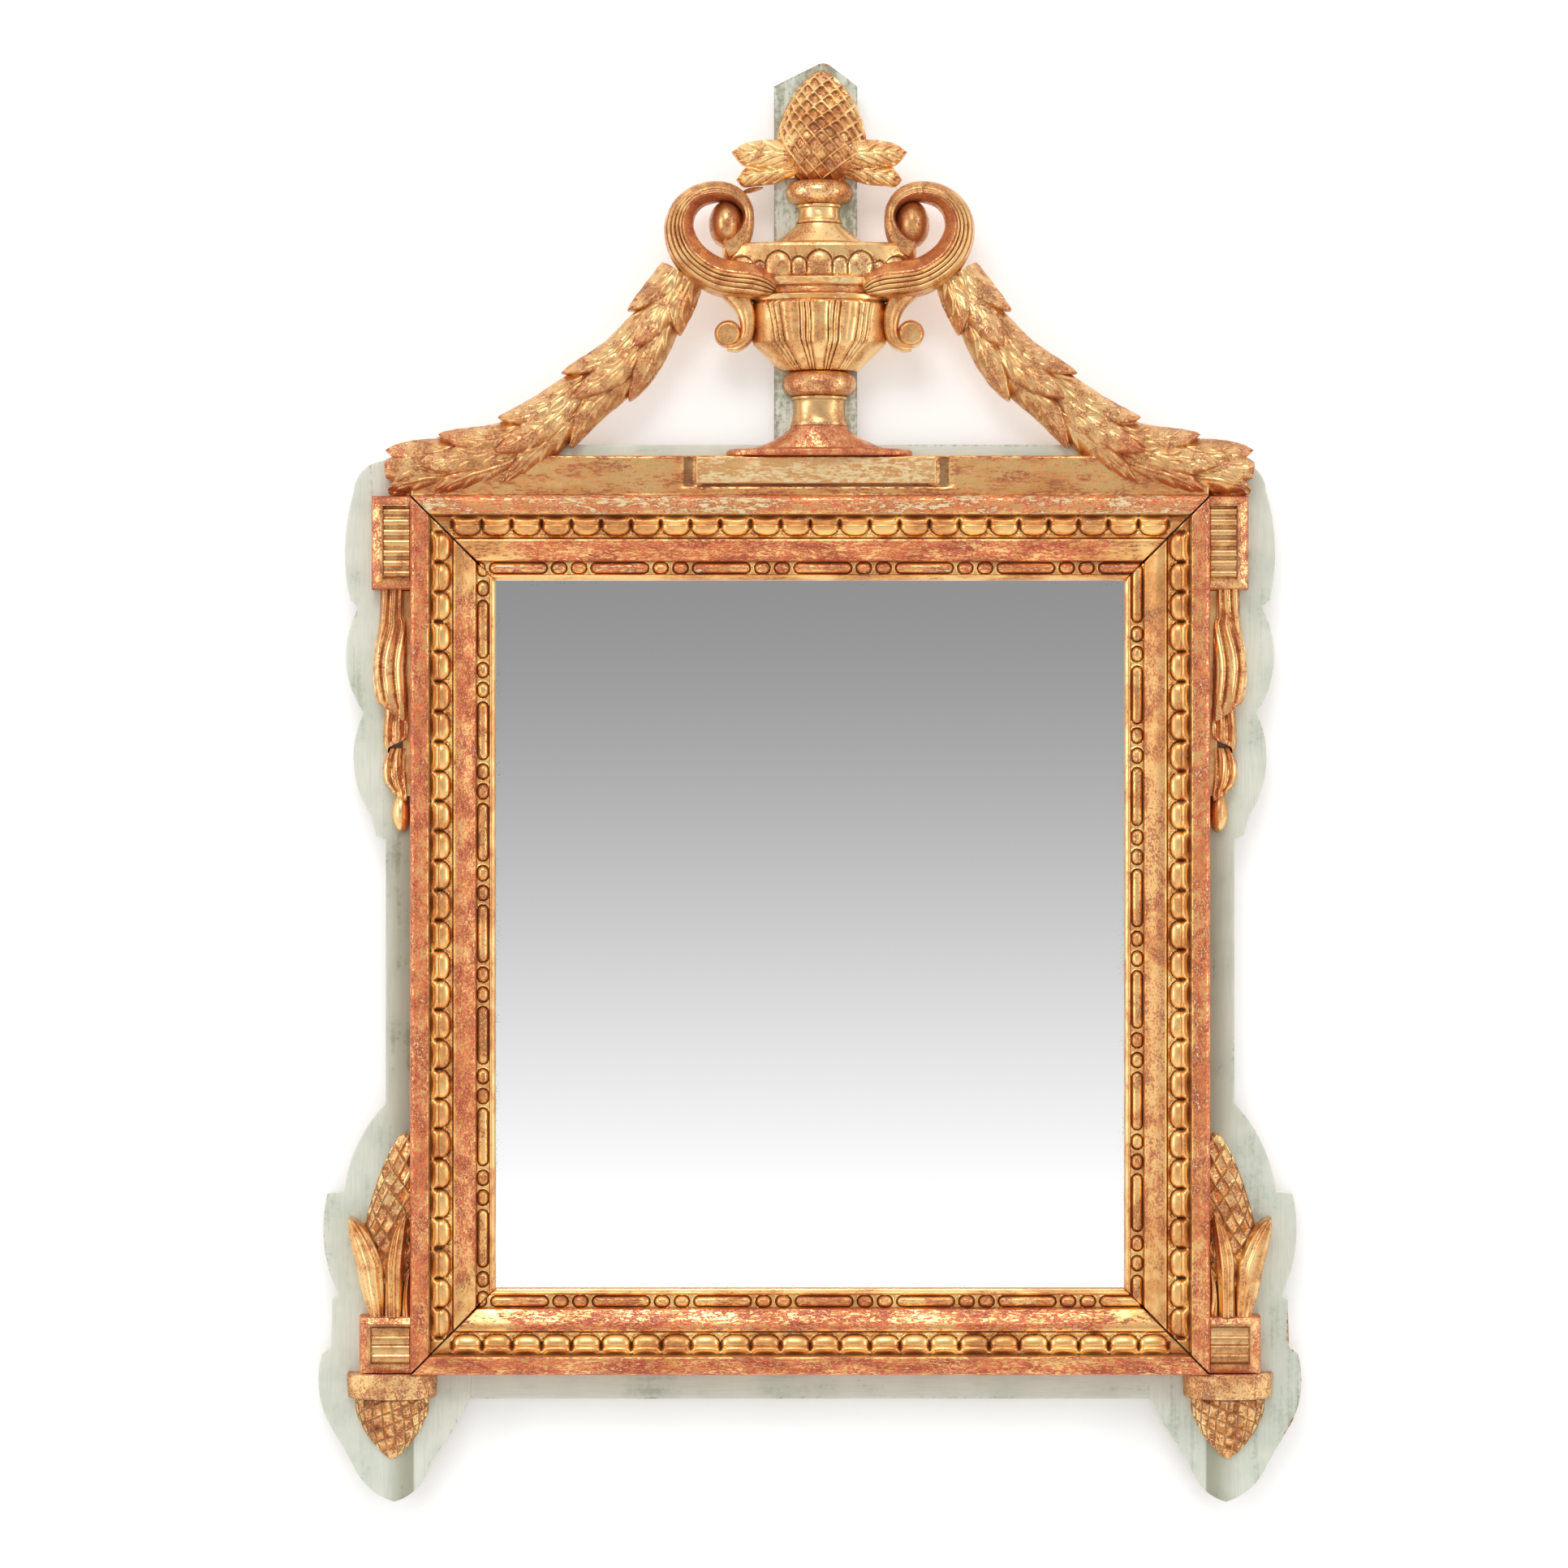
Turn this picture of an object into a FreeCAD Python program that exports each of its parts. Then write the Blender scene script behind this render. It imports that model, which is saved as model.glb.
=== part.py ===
import FreeCAD
import Part
import math
import os

# Painted wall mirror with a gilt carved frame, an urn crest and hanging rings, in millimetres.
# +X is the viewer's right, +Z is up, the front faces -Y. The origin lies on the wall plane behind
# the middle of the glass, so a depth of d in front of the wall lies at y = -d.

# Boards, glass and planks, from the wall forward
PLANK_THICKNESS = 8.0
GROUND_THICKNESS = 16.0
GLASS_THICKNESS = 3.0
GLASS_LAP = 8.0
OPENING_MARGIN = 16.5
PLANK_LAP = 12.0
PLANK_GAP = 1.0
CENTRE_PLANK_WIDTH = 172.0
TENON_LENGTH = 22.0
TENON_THICKNESS = 5.0
TENON_SHOULDER = 8.0
OVERRUN = 5.0

# Gilt frame round the glass
FRAME_WIDTH = 530.0
FRAME_HEIGHT = 582.6
FILLET_WIDTH = 12.5
LEAF_ROW_WIDTH = 15.5
PLAIN_BAND_WIDTH = 15.0
BEAD_ROW_WIDTH = 9.0
LIP_WIDTH = 3.5
FILLET_HEIGHT = 24.0
FILLET_ROUND = 4.0
LEAF_BED_HEIGHT = 11.0
LEAF_BALL_RADIUS = 6.8
LEAF_PITCH = 19.8
BAND_OUTER_HEIGHT = 16.5
BAND_INNER_HEIGHT = 11.5
BEAD_BED_HEIGHT = 6.0
BEAD_RADIUS = 3.9
BEAD_LENGTH = 10.0
REEL_RADIUS = 3.6
REEL_LENGTH = 38.0
BEAD_PERIOD = 67.5
STRING_NECK_RADIUS = 2.0
LIP_HEIGHT = 8.5

# Painted ground beyond the frame
SIDE_REACH = 61.6
SHOULDER_RISE = 45.4
SHOULDER_DROP = 228.0
FOOT_RISE = 178.7
FOOT_DROP = 88.6
TOP_RAIL_RISE = 35.1
BOTTOM_RAIL_DROP = 18.2

# Frieze and its tablet
FRIEZE_HEIGHT = 27.0
FRIEZE_THICKNESS = 12.0
TABLET_WIDTH = 159.0
TABLET_HEIGHT = 17.6
TABLET_THICKNESS = 4.0
TABLET_SHIFT = 4.0
TABLET_SINK = 1.0

# Crest post
POST_WIDTH = 55.5
POST_SHIFT = 3.8
POST_CLEARANCE = 2.0
POST_PEAK_RISE = 4.8
POST_PEAK_SHIFT = 8.7
POST_PEAK_WIDTH = 9.2
POST_PEAK_DROP = 1.4
POST_GABLE_DROP = 15.4

# Urn, from its foot to its pinecone
URN_SHIFT = 6.2
BASE_SLAB_HEIGHT = 4.5
BASE_SLAB_HALF = 61.8
BASE_SLAB_RELIEF = 24.0
FOOT_HEIGHT = 19.9
FOOT_HALF = 45.0
FOOT_RELIEF = 21.0
FOOT_COVE_POWER = 1.6
STEM_HEIGHT = 36.7
STEM_HALF = 17.6
TORUS_HALF = 24.3
TORUS_HEIGHT = 15.7
BOWL_HEIGHT = 45.9
BOWL_HALF = 43.7
BOWL_BOTTOM_HALF = 27.0
BOWL_RELIEF = 32.0
BOWL_LOBES = 9
RIM_HEIGHT = 15.7
RIM_HALF = 47.0
LID_HEIGHT = 36.7
LID_SLAB_HEIGHT = 23.0
LID_HALF = 66.0
LID_RELIEF = 26.0
LID_TOP_HALF = 15.1
LID_COVE_POWER = 2.0
LID_LOBES = 11
NECK_HEIGHT = 28.6
NECK_HALF = 14.6
NECK_TORUS_HALF = 22.7
NECK_TORUS_HEIGHT = 15.1
CONE_SHIFT = 1.6
CONE_HEIGHT = 74.0
CONE_HALF = 30.0
CONE_COLUMNS = 14

# Handles, scrolls and leaf sprigs of the urn
HANDLE_REACH = 102.0
HANDLE_HEIGHT = 79.4
HANDLE_HALF = 12.4
HANDLE_RELIEF = 25.0
HANDLE_BALL_RADIUS = 13.0
SCROLL_REACH = 72.4
SCROLL_DROP = 34.0
SCROLL_HALF = 7.0
SCROLL_RELIEF = 16.0
SCROLL_BALL_RADIUS = 8.6
SPRIG_LENGTH = 31.0
SPRIG_WIDTH = 15.0
SPRIG_RELIEF = 14.0

# Garlands
GARLAND_START_OUT = 86.0
GARLAND_START_RISE = 155.0
GARLAND_END_OUT = 15.7
GARLAND_END_RISE = 16.8
GARLAND_HALF = 20.0
GARLAND_RELIEF = 24.0
GARLAND_ROWS = 10
GARLAND_LEAF_LENGTH = 49.0
GARLAND_LEAF_WIDTH = 19.0
GARLAND_FAN_ANGLE = 17.0

# Reeded corner blocks
TOP_BLOCK_WIDTH = 26.0
TOP_BLOCK_HEIGHT = 62.0
TOP_BLOCK_REEDS = 8
BOTTOM_BLOCK_WIDTH = 34.0
BOTTOM_BLOCK_HEIGHT = 38.5
BOTTOM_BLOCK_REEDS = 3
BLOCK_RELIEF = 19.0
BLOCK_BORDER = 6.0
BLOCK_SINK = 4.0

# Drapery drops
DROP_WIDTH = 26.0
DROP_HEIGHT = 159.0
DROP_RELIEF = 15.0
DROP_BALL_RADIUS = 9.0
DROP_TIER_FOLDS = 3

# Side pinecones in their leaf cups
SIDE_CONE_LENGTH = 112.0
SIDE_CONE_HALF = 19.5
SIDE_CONE_RELIEF = 20.0
SIDE_CONE_OUT = 18.0
SIDE_CONE_RISE = 48.0
SIDE_CONE_LEAN = 7.0
SIDE_CONE_COLUMNS = 8
CUP_LEAF_LENGTH = 66.0
CUP_LEAF_WIDTH = 22.0
CUP_LEAF_RELIEF = 17.0

# Foot bands and hanging pinecones
FOOT_OUT = 13.5
FOOT_BAND_HALF = 30.2
FOOT_BAND_HEIGHT = 17.0
FOOT_BAND_RELIEF = 21.0
FOOT_CONE_HALF = 25.0
FOOT_CONE_HEIGHT = 41.5
FOOT_CONE_RELIEF = 18.0
FOOT_CONE_COLUMNS = 12

# Blocks and nails behind
BLOCK_LENGTH = 38.0
BLOCK_DEPTH = 9.0
BLOCK_REACH = 14.0
NAIL_RADIUS = 1.2
NAIL_LENGTH = 18.0
NAIL_MARGIN = 5.0
POST_NAIL_LENGTH = 12.0
POST_NAIL_SPREAD = 28.0

# Hanging straps, screws and rings
HANGER_SPREAD = 300.0
HANGER_DROP = 26.4
RING_WIRE_RADIUS = 1.5
RING_HALF = 11.0
RING_REACH = 19.0
RING_CORNER_RADIUS = 3.0
RING_FIT = 0.05
RING_REST_TILT = 5.0
STRAP_WIDTH = 14.0
STRAP_LENGTH = 30.0
STRAP_LAYER = 1.2
SCREW_RADIUS = 1.5
SCREW_HEAD_RADIUS = 3.0
SCREW_HEAD_HEIGHT = 1.6
SCREW_LENGTH = 14.0

# Depths and edges that follow
GROUND_BACK = PLANK_THICKNESS
FACE = GROUND_BACK + GROUND_THICKNESS
MOULDING_WIDTH = FILLET_WIDTH + LEAF_ROW_WIDTH + PLAIN_BAND_WIDTH + BEAD_ROW_WIDTH + LIP_WIDTH
FRAME_SIDE = FRAME_WIDTH / 2
FRAME_TOP = FRAME_HEIGHT / 2
FRAME_BOTTOM = -FRAME_TOP
SIGHT_SIDE = FRAME_SIDE - MOULDING_WIDTH
SIGHT_TOP = FRAME_TOP - MOULDING_WIDTH
OPENING_SIDE = SIGHT_SIDE + OPENING_MARGIN
OPENING_TOP = SIGHT_TOP + OPENING_MARGIN
PLANK_SIDE = OPENING_SIDE + PLANK_LAP
PLANK_TOP = OPENING_TOP + PLANK_LAP
TOP_RAIL_TOP = FRAME_TOP + TOP_RAIL_RISE
BOTTOM_RAIL_BOTTOM = FRAME_BOTTOM - BOTTOM_RAIL_DROP
FRIEZE_TOP = FRAME_TOP + FRIEZE_HEIGHT
FRIEZE_FRONT = FACE + FRIEZE_THICKNESS

# Heights of the urn's stages
STEM_BOTTOM = FRIEZE_TOP + FOOT_HEIGHT
BOWL_BOTTOM = STEM_BOTTOM + STEM_HEIGHT
RIM_BOTTOM = BOWL_BOTTOM + BOWL_HEIGHT
LID_BOTTOM = RIM_BOTTOM + RIM_HEIGHT
NECK_BOTTOM = LID_BOTTOM + LID_HEIGHT
CONE_BOTTOM = NECK_BOTTOM + NECK_HEIGHT
CONE_TOP = CONE_BOTTOM + CONE_HEIGHT


# Shares that all carvings of a kind follow
SCALE_SINK_SHARE = 0.84
LEAF_BELLY_SHARE = 0.45
LEAF_EDGE_SHARE = 0.6


def at(x, depth, z):
    return FreeCAD.Vector(x, -depth, z)


def box(left, right, back, front, bottom, top):
    return Part.makeBox(right - left, front - back, top - bottom, at(left, front, bottom))


def outline_wire(steps, depth):
    """Closed outline of x, z steps: two numbers make a line, four an arc through the first two."""
    first_x, first_z = steps[0]
    here = at(first_x, depth, first_z)
    start = here
    edges = []
    for step in steps[1:]:
        end = at(step[-2], depth, step[-1])
        if len(step) == 4:
            edges.append(Part.Arc(here, at(step[0], depth, step[1]), end).toShape())
        else:
            edges.append(Part.makeLine(here, end))
        here = end
    edges.append(Part.makeLine(here, start))
    return Part.Wire(edges)


def board(steps, back, front):
    """A board of one outline between two depths."""
    return Part.Face(outline_wire(steps, back)).extrude(at(0, front - back, 0))


def mirrored(shape, x=0):
    return shape.mirror(FreeCAD.Vector(x, 0, 0), FreeCAD.Vector(1, 0, 0))


def peg(radius, x, z, back, front):
    """A round pin that runs forward from one depth to another."""
    return Part.makeCylinder(radius, front - back, at(x, back, z), at(0, 1, 0))


def half_oval(x, z, half, relief):
    """Level section of a relief: flat on the painted face and bowed to the front."""
    centre = at(x, FACE, z)
    side = at(x + half, FACE, z)
    front = at(x, FACE + relief, z)
    if half >= relief:
        curve = Part.Arc(Part.Ellipse(side, front, centre), 0, math.pi)
    else:
        other_side = at(x - half, FACE, z)
        curve = Part.Arc(Part.Ellipse(front, other_side, centre), -math.pi / 2, math.pi / 2)
    flat = Part.makeLine(curve.EndPoint, curve.StartPoint)
    return Part.Wire([curve.toShape(), flat])


def turned_relief(x, levels):
    """Half turning on the painted face, through levels of height, half width and relief."""
    return Part.makeLoft([half_oval(x, *level) for level in levels], True, True)


def bulge_levels(bottom, top, half, relief, swell, steps=6):
    """Levels of a torus: the half width and relief grow by the swell and come back."""
    levels = []
    for step in range(steps + 1):
        angle = math.pi * step / steps
        height = bottom + (top - bottom) * (1 - math.cos(angle)) / 2
        grow = swell * math.sin(angle)
        levels.append((height, half + grow, relief + grow))
    return levels


def flare_levels(bottom, top, wide, narrow, hollow, steps=6):
    """Levels of a cove from wide below to narrow above, each a half width and a relief."""
    levels = []
    for step in range(steps + 1):
        share = step / steps
        spread = (1 - share) ** hollow
        half, relief = [small + (large - small) * spread for large, small in zip(wide, narrow)]
        levels.append((bottom + (top - bottom) * share, half, relief))
    return levels


def lobed_oval(x, z, half, relief, lobes, swell_share):
    """Half oval whose curved side swells into equal lobes."""
    def rim_point(step, factor):
        angle = math.pi * step / (2 * lobes)
        return at(x + half * factor * math.cos(angle), FACE + relief * factor * math.sin(angle), z)

    edges = []
    for lobe in range(lobes):
        valley = rim_point(2 * lobe, 1)
        crest = rim_point(2 * lobe + 1, 1 + swell_share)
        edges.append(Part.Arc(valley, crest, rim_point(2 * lobe + 2, 1)).toShape())
    edges.append(Part.makeLine(rim_point(2 * lobes, 1), rim_point(0, 1)))
    return Part.Wire(edges)


def faceted(rows):
    """Closed solid over a grid of points. Each row starts and ends on the flat back."""
    faces = []
    for index in range(len(rows) - 1):
        low = rows[index]
        high = rows[index + 1]
        for column in range(len(low) - 1):
            corners = [low[column], low[column + 1], high[column + 1], high[column]]
            if (index + column) % 2:
                corners = corners[1:] + corners[:1]
            faces.append(polygon(corners[:3]))
            faces.append(polygon([corners[0], corners[2], corners[3]]))
    faces.append(polygon(rows[0]))
    faces.append(polygon(rows[-1]))
    faces.append(polygon([row[0] for row in rows] + [row[-1] for row in reversed(rows)]))
    return closed_solid(faces)


def polygon(points):
    return Part.Face(Part.makePolygon(list(points) + [points[0]]))


def closed_solid(faces):
    shell = Part.Shell(faces)
    shell.sewShape()
    solid = Part.Solid(shell)
    if solid.Volume < 0:
        solid.reverse()
    return solid


def pinecone(levels, columns):
    """Half pinecone on the painted face: facets rise and sink by turns, as scales do."""
    rows = []
    for index, (z, half, relief) in enumerate(levels):
        row = []
        for column in range(columns + 1):
            angle = math.pi * column / columns
            factor = 1 if (index + column) % 2 == 0 else SCALE_SINK_SHARE
            row.append(at(half * factor * math.cos(angle), FACE + relief * factor * math.sin(angle), z))
        rows.append(row)
    return faceted(rows)


def cone_levels(length, half, relief, shares):
    """Levels of a pinecone, from shares of its length and of its fullest section."""
    return [(length * along, half * full, relief * full) for along, full in shares]


def leaf(base, tip, width, low, high):
    """Leaf with a raised midrib on the painted face, low at its base and high at its tip."""
    run = (tip[0] - base[0], tip[1] - base[1])
    length = math.hypot(*run)
    across = (-run[1] / length * width / 2, run[0] / length * width / 2)
    belly = (base[0] + run[0] * LEAF_BELLY_SHARE, base[1] + run[1] * LEAF_BELLY_SHARE)
    left = (belly[0] + across[0], belly[1] + across[1])
    right = (belly[0] - across[0], belly[1] - across[1])
    edge = high * LEAF_EDGE_SHARE
    rim = [(base, low), (left, edge), (tip, high), (right, edge)]
    top = [at(point[0], FACE + height, point[1]) for point, height in rim]
    bottom = [at(point[0], FACE, point[1]) for point, height in rim]
    rib = at(belly[0], FACE + high, belly[1])
    faces = [polygon(bottom)]
    for index in range(len(rim)):
        after = (index + 1) % len(rim)
        faces.append(polygon([top[index], top[after], rib]))
        faces.append(polygon([bottom[index], bottom[after], top[after], top[index]]))
    return closed_solid(faces)


def fused(shapes):
    """One solid of pieces that overlap."""
    return shapes[0].multiFuse(shapes[1:])


def half_ball(x, z, radius, relief):
    """Ball volute on the painted face: a ball sunk so far that its relief stands out."""
    ball = Part.makeSphere(radius, at(x, FACE + relief - radius, z))
    keep = box(x - radius, x + radius, FACE, FACE + relief, z - radius, z + radius)
    root = peg(radius, x, z, FACE, FACE + relief - radius)
    return ball.common(keep).fuse(root)


def path_section(x, z, direction, half, relief):
    """Upright half oval across a scroll's path, flat on the painted face."""
    across = FreeCAD.Vector(-direction[1], 0, direction[0])
    centre = at(x, FACE, z)
    front = at(x, FACE + relief, z)
    left = centre + across * half
    if half >= relief:
        curve = Part.Arc(Part.Ellipse(left, front, centre), 0, math.pi)
    else:
        curve = Part.Arc(Part.Ellipse(front, centre - across * half, centre), -math.pi / 2, math.pi / 2)
    flat = Part.makeLine(curve.EndPoint, curve.StartPoint)
    return Part.Wire([curve.toShape(), flat])


def scroll(stations):
    """Carved scroll through stations of x, z, half width and relief."""
    sections = []
    for index, (x, z, half, relief) in enumerate(stations):
        before = stations[max(index - 1, 0)]
        after = stations[min(index + 1, len(stations) - 1)]
        run = (after[0] - before[0], after[1] - before[1])
        length = math.hypot(*run)
        sections.append(path_section(x, z, (run[0] / length, run[1] / length), half, relief))
    return Part.makeLoft(sections, True, True)


# Painted ground
# Left stile, outward of the frame in shares of SIDE_REACH. Heights are shares of the rise or drop
# that the row's zone follows. A row of four is an arc through its first two.
SHOULDER_TOP_SHARES = [(-0.465, 1.0), (0.342, 0.524), (0.535, 0.400, 0.632, 0.095)]
SHOULDER_SHARES = [
    (0.730, 0.140, 0.675, 0.299), (0.579, 0.320), (0.720, 0.480, 0.526, 0.630),
    (0.640, 0.760, 0.447, 0.931), (0.395, 0.988), (0.289, 1.0),
]
FOOT_RISE_SHARES = [
    (0.289, 1.0), (0.570, 0.864, 0.741, 0.668), (0.921, 0.662), (0.960, 0.486, 0.798, 0.281),
    (0.868, 0.269), (0.882, 0.091), (0.982, 0.063),
]
FOOT_DROP_SHARES = [
    (1.000, 0.200, 0.921, 0.372), (0.649, 0.695), (0.430, 0.900, 0.202, 0.982),
    (-0.020, 0.900, -0.184, 0.695), (-0.400, 0.480, -0.596, 0.238),
]


def stile_zone(shares, base, span):
    """Rows of one zone of the left stile, turned from shares to places."""
    rows = []
    for row in shares:
        places = []
        for index in range(0, len(row), 2):
            places.append(-FRAME_SIDE - row[index] * SIDE_REACH)
            places.append(base + row[index + 1] * span)
        rows.append(tuple(places))
    return rows


def stile_outline():
    steps = [(-OPENING_SIDE, FRAME_TOP + SHOULDER_RISE)]
    steps += stile_zone(SHOULDER_TOP_SHARES, FRAME_TOP, SHOULDER_RISE)
    steps += stile_zone(SHOULDER_SHARES, FRAME_TOP, -SHOULDER_DROP)
    steps += stile_zone(FOOT_RISE_SHARES, FRAME_BOTTOM, FOOT_RISE)
    steps += stile_zone(FOOT_DROP_SHARES, FRAME_BOTTOM, -FOOT_DROP)
    steps.append((-OPENING_SIDE, BOTTOM_RAIL_BOTTOM))
    return steps


def rail_board(bottom, top):
    """Cross board between the stiles, with a tenon at each end."""
    body = box(-OPENING_SIDE, OPENING_SIDE, GROUND_BACK, FACE, bottom, top)
    middle = (GROUND_BACK + FACE) / 2
    tenon_side = OPENING_SIDE + TENON_LENGTH
    tenon = box(-tenon_side, tenon_side, middle - TENON_THICKNESS / 2, middle + TENON_THICKNESS / 2,
                bottom + TENON_SHOULDER, top - TENON_SHOULDER)
    return body.fuse(tenon).removeSplitter()


def post_outline():
    """Upright board with a gabled top whose peak is rounded."""
    left = POST_SHIFT - POST_WIDTH / 2
    right = POST_SHIFT + POST_WIDTH / 2
    peak = CONE_TOP + POST_PEAK_RISE
    shoulder = peak - POST_GABLE_DROP
    slope_top = peak - POST_PEAK_DROP
    bottom = PLANK_TOP + POST_CLEARANCE
    return [(left, bottom), (left, shoulder), (POST_PEAK_SHIFT - POST_PEAK_WIDTH / 2, slope_top),
            (POST_PEAK_SHIFT, peak, POST_PEAK_SHIFT + POST_PEAK_WIDTH / 2, slope_top),
            (right, shoulder), (right, bottom)]


def crest_post():
    """Post whose lower half is thinned to lie in the rail's notch."""
    post = board(post_outline(), GROUND_BACK, FACE)
    return post.cut(box(POST_SHIFT - POST_WIDTH, POST_SHIFT + POST_WIDTH, post_lap(), FACE + OVERRUN,
                        PLANK_TOP, TOP_RAIL_TOP))


def post_lap():
    return GROUND_BACK + GROUND_THICKNESS / 2


def post_notch():
    return box(POST_SHIFT - POST_WIDTH / 2, POST_SHIFT + POST_WIDTH / 2, GROUND_BACK, post_lap(),
               PLANK_TOP + POST_CLEARANCE, TOP_RAIL_TOP)


def post_nails():
    """Four nails through the halved joint, from behind."""
    middle = (PLANK_TOP + POST_CLEARANCE + TOP_RAIL_TOP) / 2
    nails = []
    for x in (-POST_NAIL_SPREAD / 2, POST_NAIL_SPREAD / 2):
        for z in (-POST_NAIL_SPREAD / 2, POST_NAIL_SPREAD / 2):
            nails.append(peg(NAIL_RADIUS, POST_SHIFT + x, middle + z, GROUND_BACK,
                             GROUND_BACK + POST_NAIL_LENGTH))
    return Part.makeCompound(nails)


# Gilt mouldings
LIP_ROUND_SHARES = (0.7, 0.9)


def moulding_profile(reach):
    """Section of the moulding: fillet, leaf bed, plain band, bead bed and lip, from outside in.

    Steps are a place inward of the outer edge and a height over the painted face.
    """
    leaf_from = FILLET_WIDTH
    band_from = leaf_from + LEAF_ROW_WIDTH
    bead_from = band_from + PLAIN_BAND_WIDTH
    lip_from = bead_from + BEAD_ROW_WIDTH
    bed_edge = (FILLET_HEIGHT + LEAF_BED_HEIGHT) / 2
    band_middle = (BAND_OUTER_HEIGHT + BAND_INNER_HEIGHT) / 2 + (BAND_OUTER_HEIGHT - BAND_INNER_HEIGHT) / 4
    steps = [
        (0, 0), (0, FILLET_HEIGHT - FILLET_ROUND),
        (FILLET_ROUND * (1 - math.sqrt(0.5)), FILLET_HEIGHT - FILLET_ROUND * (1 - math.sqrt(0.5)),
         FILLET_ROUND, FILLET_HEIGHT),
        (leaf_from, FILLET_HEIGHT), (leaf_from, bed_edge),
        (leaf_from + LEAF_ROW_WIDTH / 3, LEAF_BED_HEIGHT, band_from, LEAF_BED_HEIGHT),
        (band_from, BAND_OUTER_HEIGHT),
        (band_from + PLAIN_BAND_WIDTH / 2, band_middle, bead_from, BAND_INNER_HEIGHT),
        (bead_from, BEAD_BED_HEIGHT), (lip_from, BEAD_BED_HEIGHT), (lip_from, LIP_HEIGHT),
        (lip_from + LIP_WIDTH * LIP_ROUND_SHARES[0], LIP_HEIGHT * LIP_ROUND_SHARES[1],
         lip_from + LIP_WIDTH, LIP_HEIGHT / 2),
        (lip_from + LIP_WIDTH, 0),
    ]
    here = None
    start = None
    edges = []
    for step in steps:
        places = [at(0, FACE + step[index + 1], reach - step[index]) for index in range(0, len(step), 2)]
        if here is None:
            start = places[0]
        elif len(places) == 2:
            edges.append(Part.Arc(here, places[0], places[1]).toShape())
        else:
            edges.append(Part.makeLine(here, places[0]))
        here = places[-1]
    edges.append(Part.makeLine(here, start))
    return Part.Face(Part.Wire(edges))


def turned_string(beads, length, depth, z):
    """Row of turned beads on a thin neck, along the rail: beads are centre, half length and radius."""
    here = at(-length / 2, depth + STRING_NECK_RADIUS, z)
    start = at(-length / 2, depth, z)
    edges = [Part.makeLine(start, here)]
    for centre, half, radius in beads:
        begin = at(centre - half, depth + STRING_NECK_RADIUS, z)
        end = at(centre + half, depth + STRING_NECK_RADIUS, z)
        if begin.x > here.x:
            edges.append(Part.makeLine(here, begin))
        else:
            begin = here
        edges.append(Part.Arc(begin, at(centre, depth + radius, z), end).toShape())
        here = end
    last = at(length / 2, depth + STRING_NECK_RADIUS, z)
    finish = at(length / 2, depth, z)
    edges += [Part.makeLine(here, last), Part.makeLine(last, finish), Part.makeLine(finish, start)]
    return Part.Face(Part.Wire(edges)).revolve(start, FreeCAD.Vector(1, 0, 0), 360)


def leaf_row(length):
    """Balls of the leaf row, evenly pitched between the ends of the rail."""
    count = max(1, round(length / LEAF_PITCH) - 1)
    pitch = length / (count + 1)
    half = min(LEAF_BALL_RADIUS, pitch / 2) * math.sqrt(1 - (STRING_NECK_RADIUS / LEAF_BALL_RADIUS) ** 2)
    return [(-length / 2 + pitch * (index + 1), half, LEAF_BALL_RADIUS) for index in range(count)]


def bead_row(length):
    """Long reel, then two beads, over and over along the rail."""
    count = max(1, round(length / BEAD_PERIOD))
    period = length / count
    gap = (period - REEL_LENGTH - 2 * BEAD_LENGTH) / 3
    beads = []
    for index in range(count):
        left = -length / 2 + period * index
        beads.append((left + gap / 2 + REEL_LENGTH / 2, REEL_LENGTH / 2, REEL_RADIUS))
        first = left + gap * 1.5 + REEL_LENGTH + BEAD_LENGTH / 2
        beads.append((first, BEAD_LENGTH / 2, BEAD_RADIUS))
        beads.append((first + gap + BEAD_LENGTH, BEAD_LENGTH / 2, BEAD_RADIUS))
    return beads


def moulding(length, reach, turn):
    """One mitred rail, made as the top rail and turned into its place."""
    inner = reach - MOULDING_WIDTH
    rail = moulding_profile(reach).extrude(FreeCAD.Vector(length, 0, 0))
    rail.translate(FreeCAD.Vector(-length / 2, 0, 0))
    leaf_line = reach - FILLET_WIDTH - LEAF_ROW_WIDTH / 2
    bead_line = reach - FILLET_WIDTH - LEAF_ROW_WIDTH - PLAIN_BAND_WIDTH - BEAD_ROW_WIDTH / 2
    leaves = turned_string(leaf_row(length), length, FACE + LEAF_BED_HEIGHT, leaf_line)
    beads = turned_string(bead_row(length), length, FACE + BEAD_BED_HEIGHT, bead_line)
    mitre = board([(-length / 2, reach), (length / 2, reach), (length / 2 - MOULDING_WIDTH, inner),
                   (MOULDING_WIDTH - length / 2, inner)], FACE, FACE + FILLET_HEIGHT + OVERRUN)
    rail = rail.multiFuse([leaves, beads]).common(mitre)
    rail.rotate(FreeCAD.Vector(0, 0, 0), FreeCAD.Vector(0, 1, 0), turn)
    return rail


# Frieze
def frieze_tablet():
    """Raised tablet with a chamfered front, near the frieze's top edge."""
    top = FRIEZE_TOP - TABLET_SINK
    plate = box(TABLET_SHIFT - TABLET_WIDTH / 2, TABLET_SHIFT + TABLET_WIDTH / 2, FRIEZE_FRONT,
                FRIEZE_FRONT + TABLET_THICKNESS, top - TABLET_HEIGHT, top)
    front = min(plate.Faces, key=lambda face: face.CenterOfMass.y)
    return plate.makeChamfer(TABLET_THICKNESS / 3, front.Edges)


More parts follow.
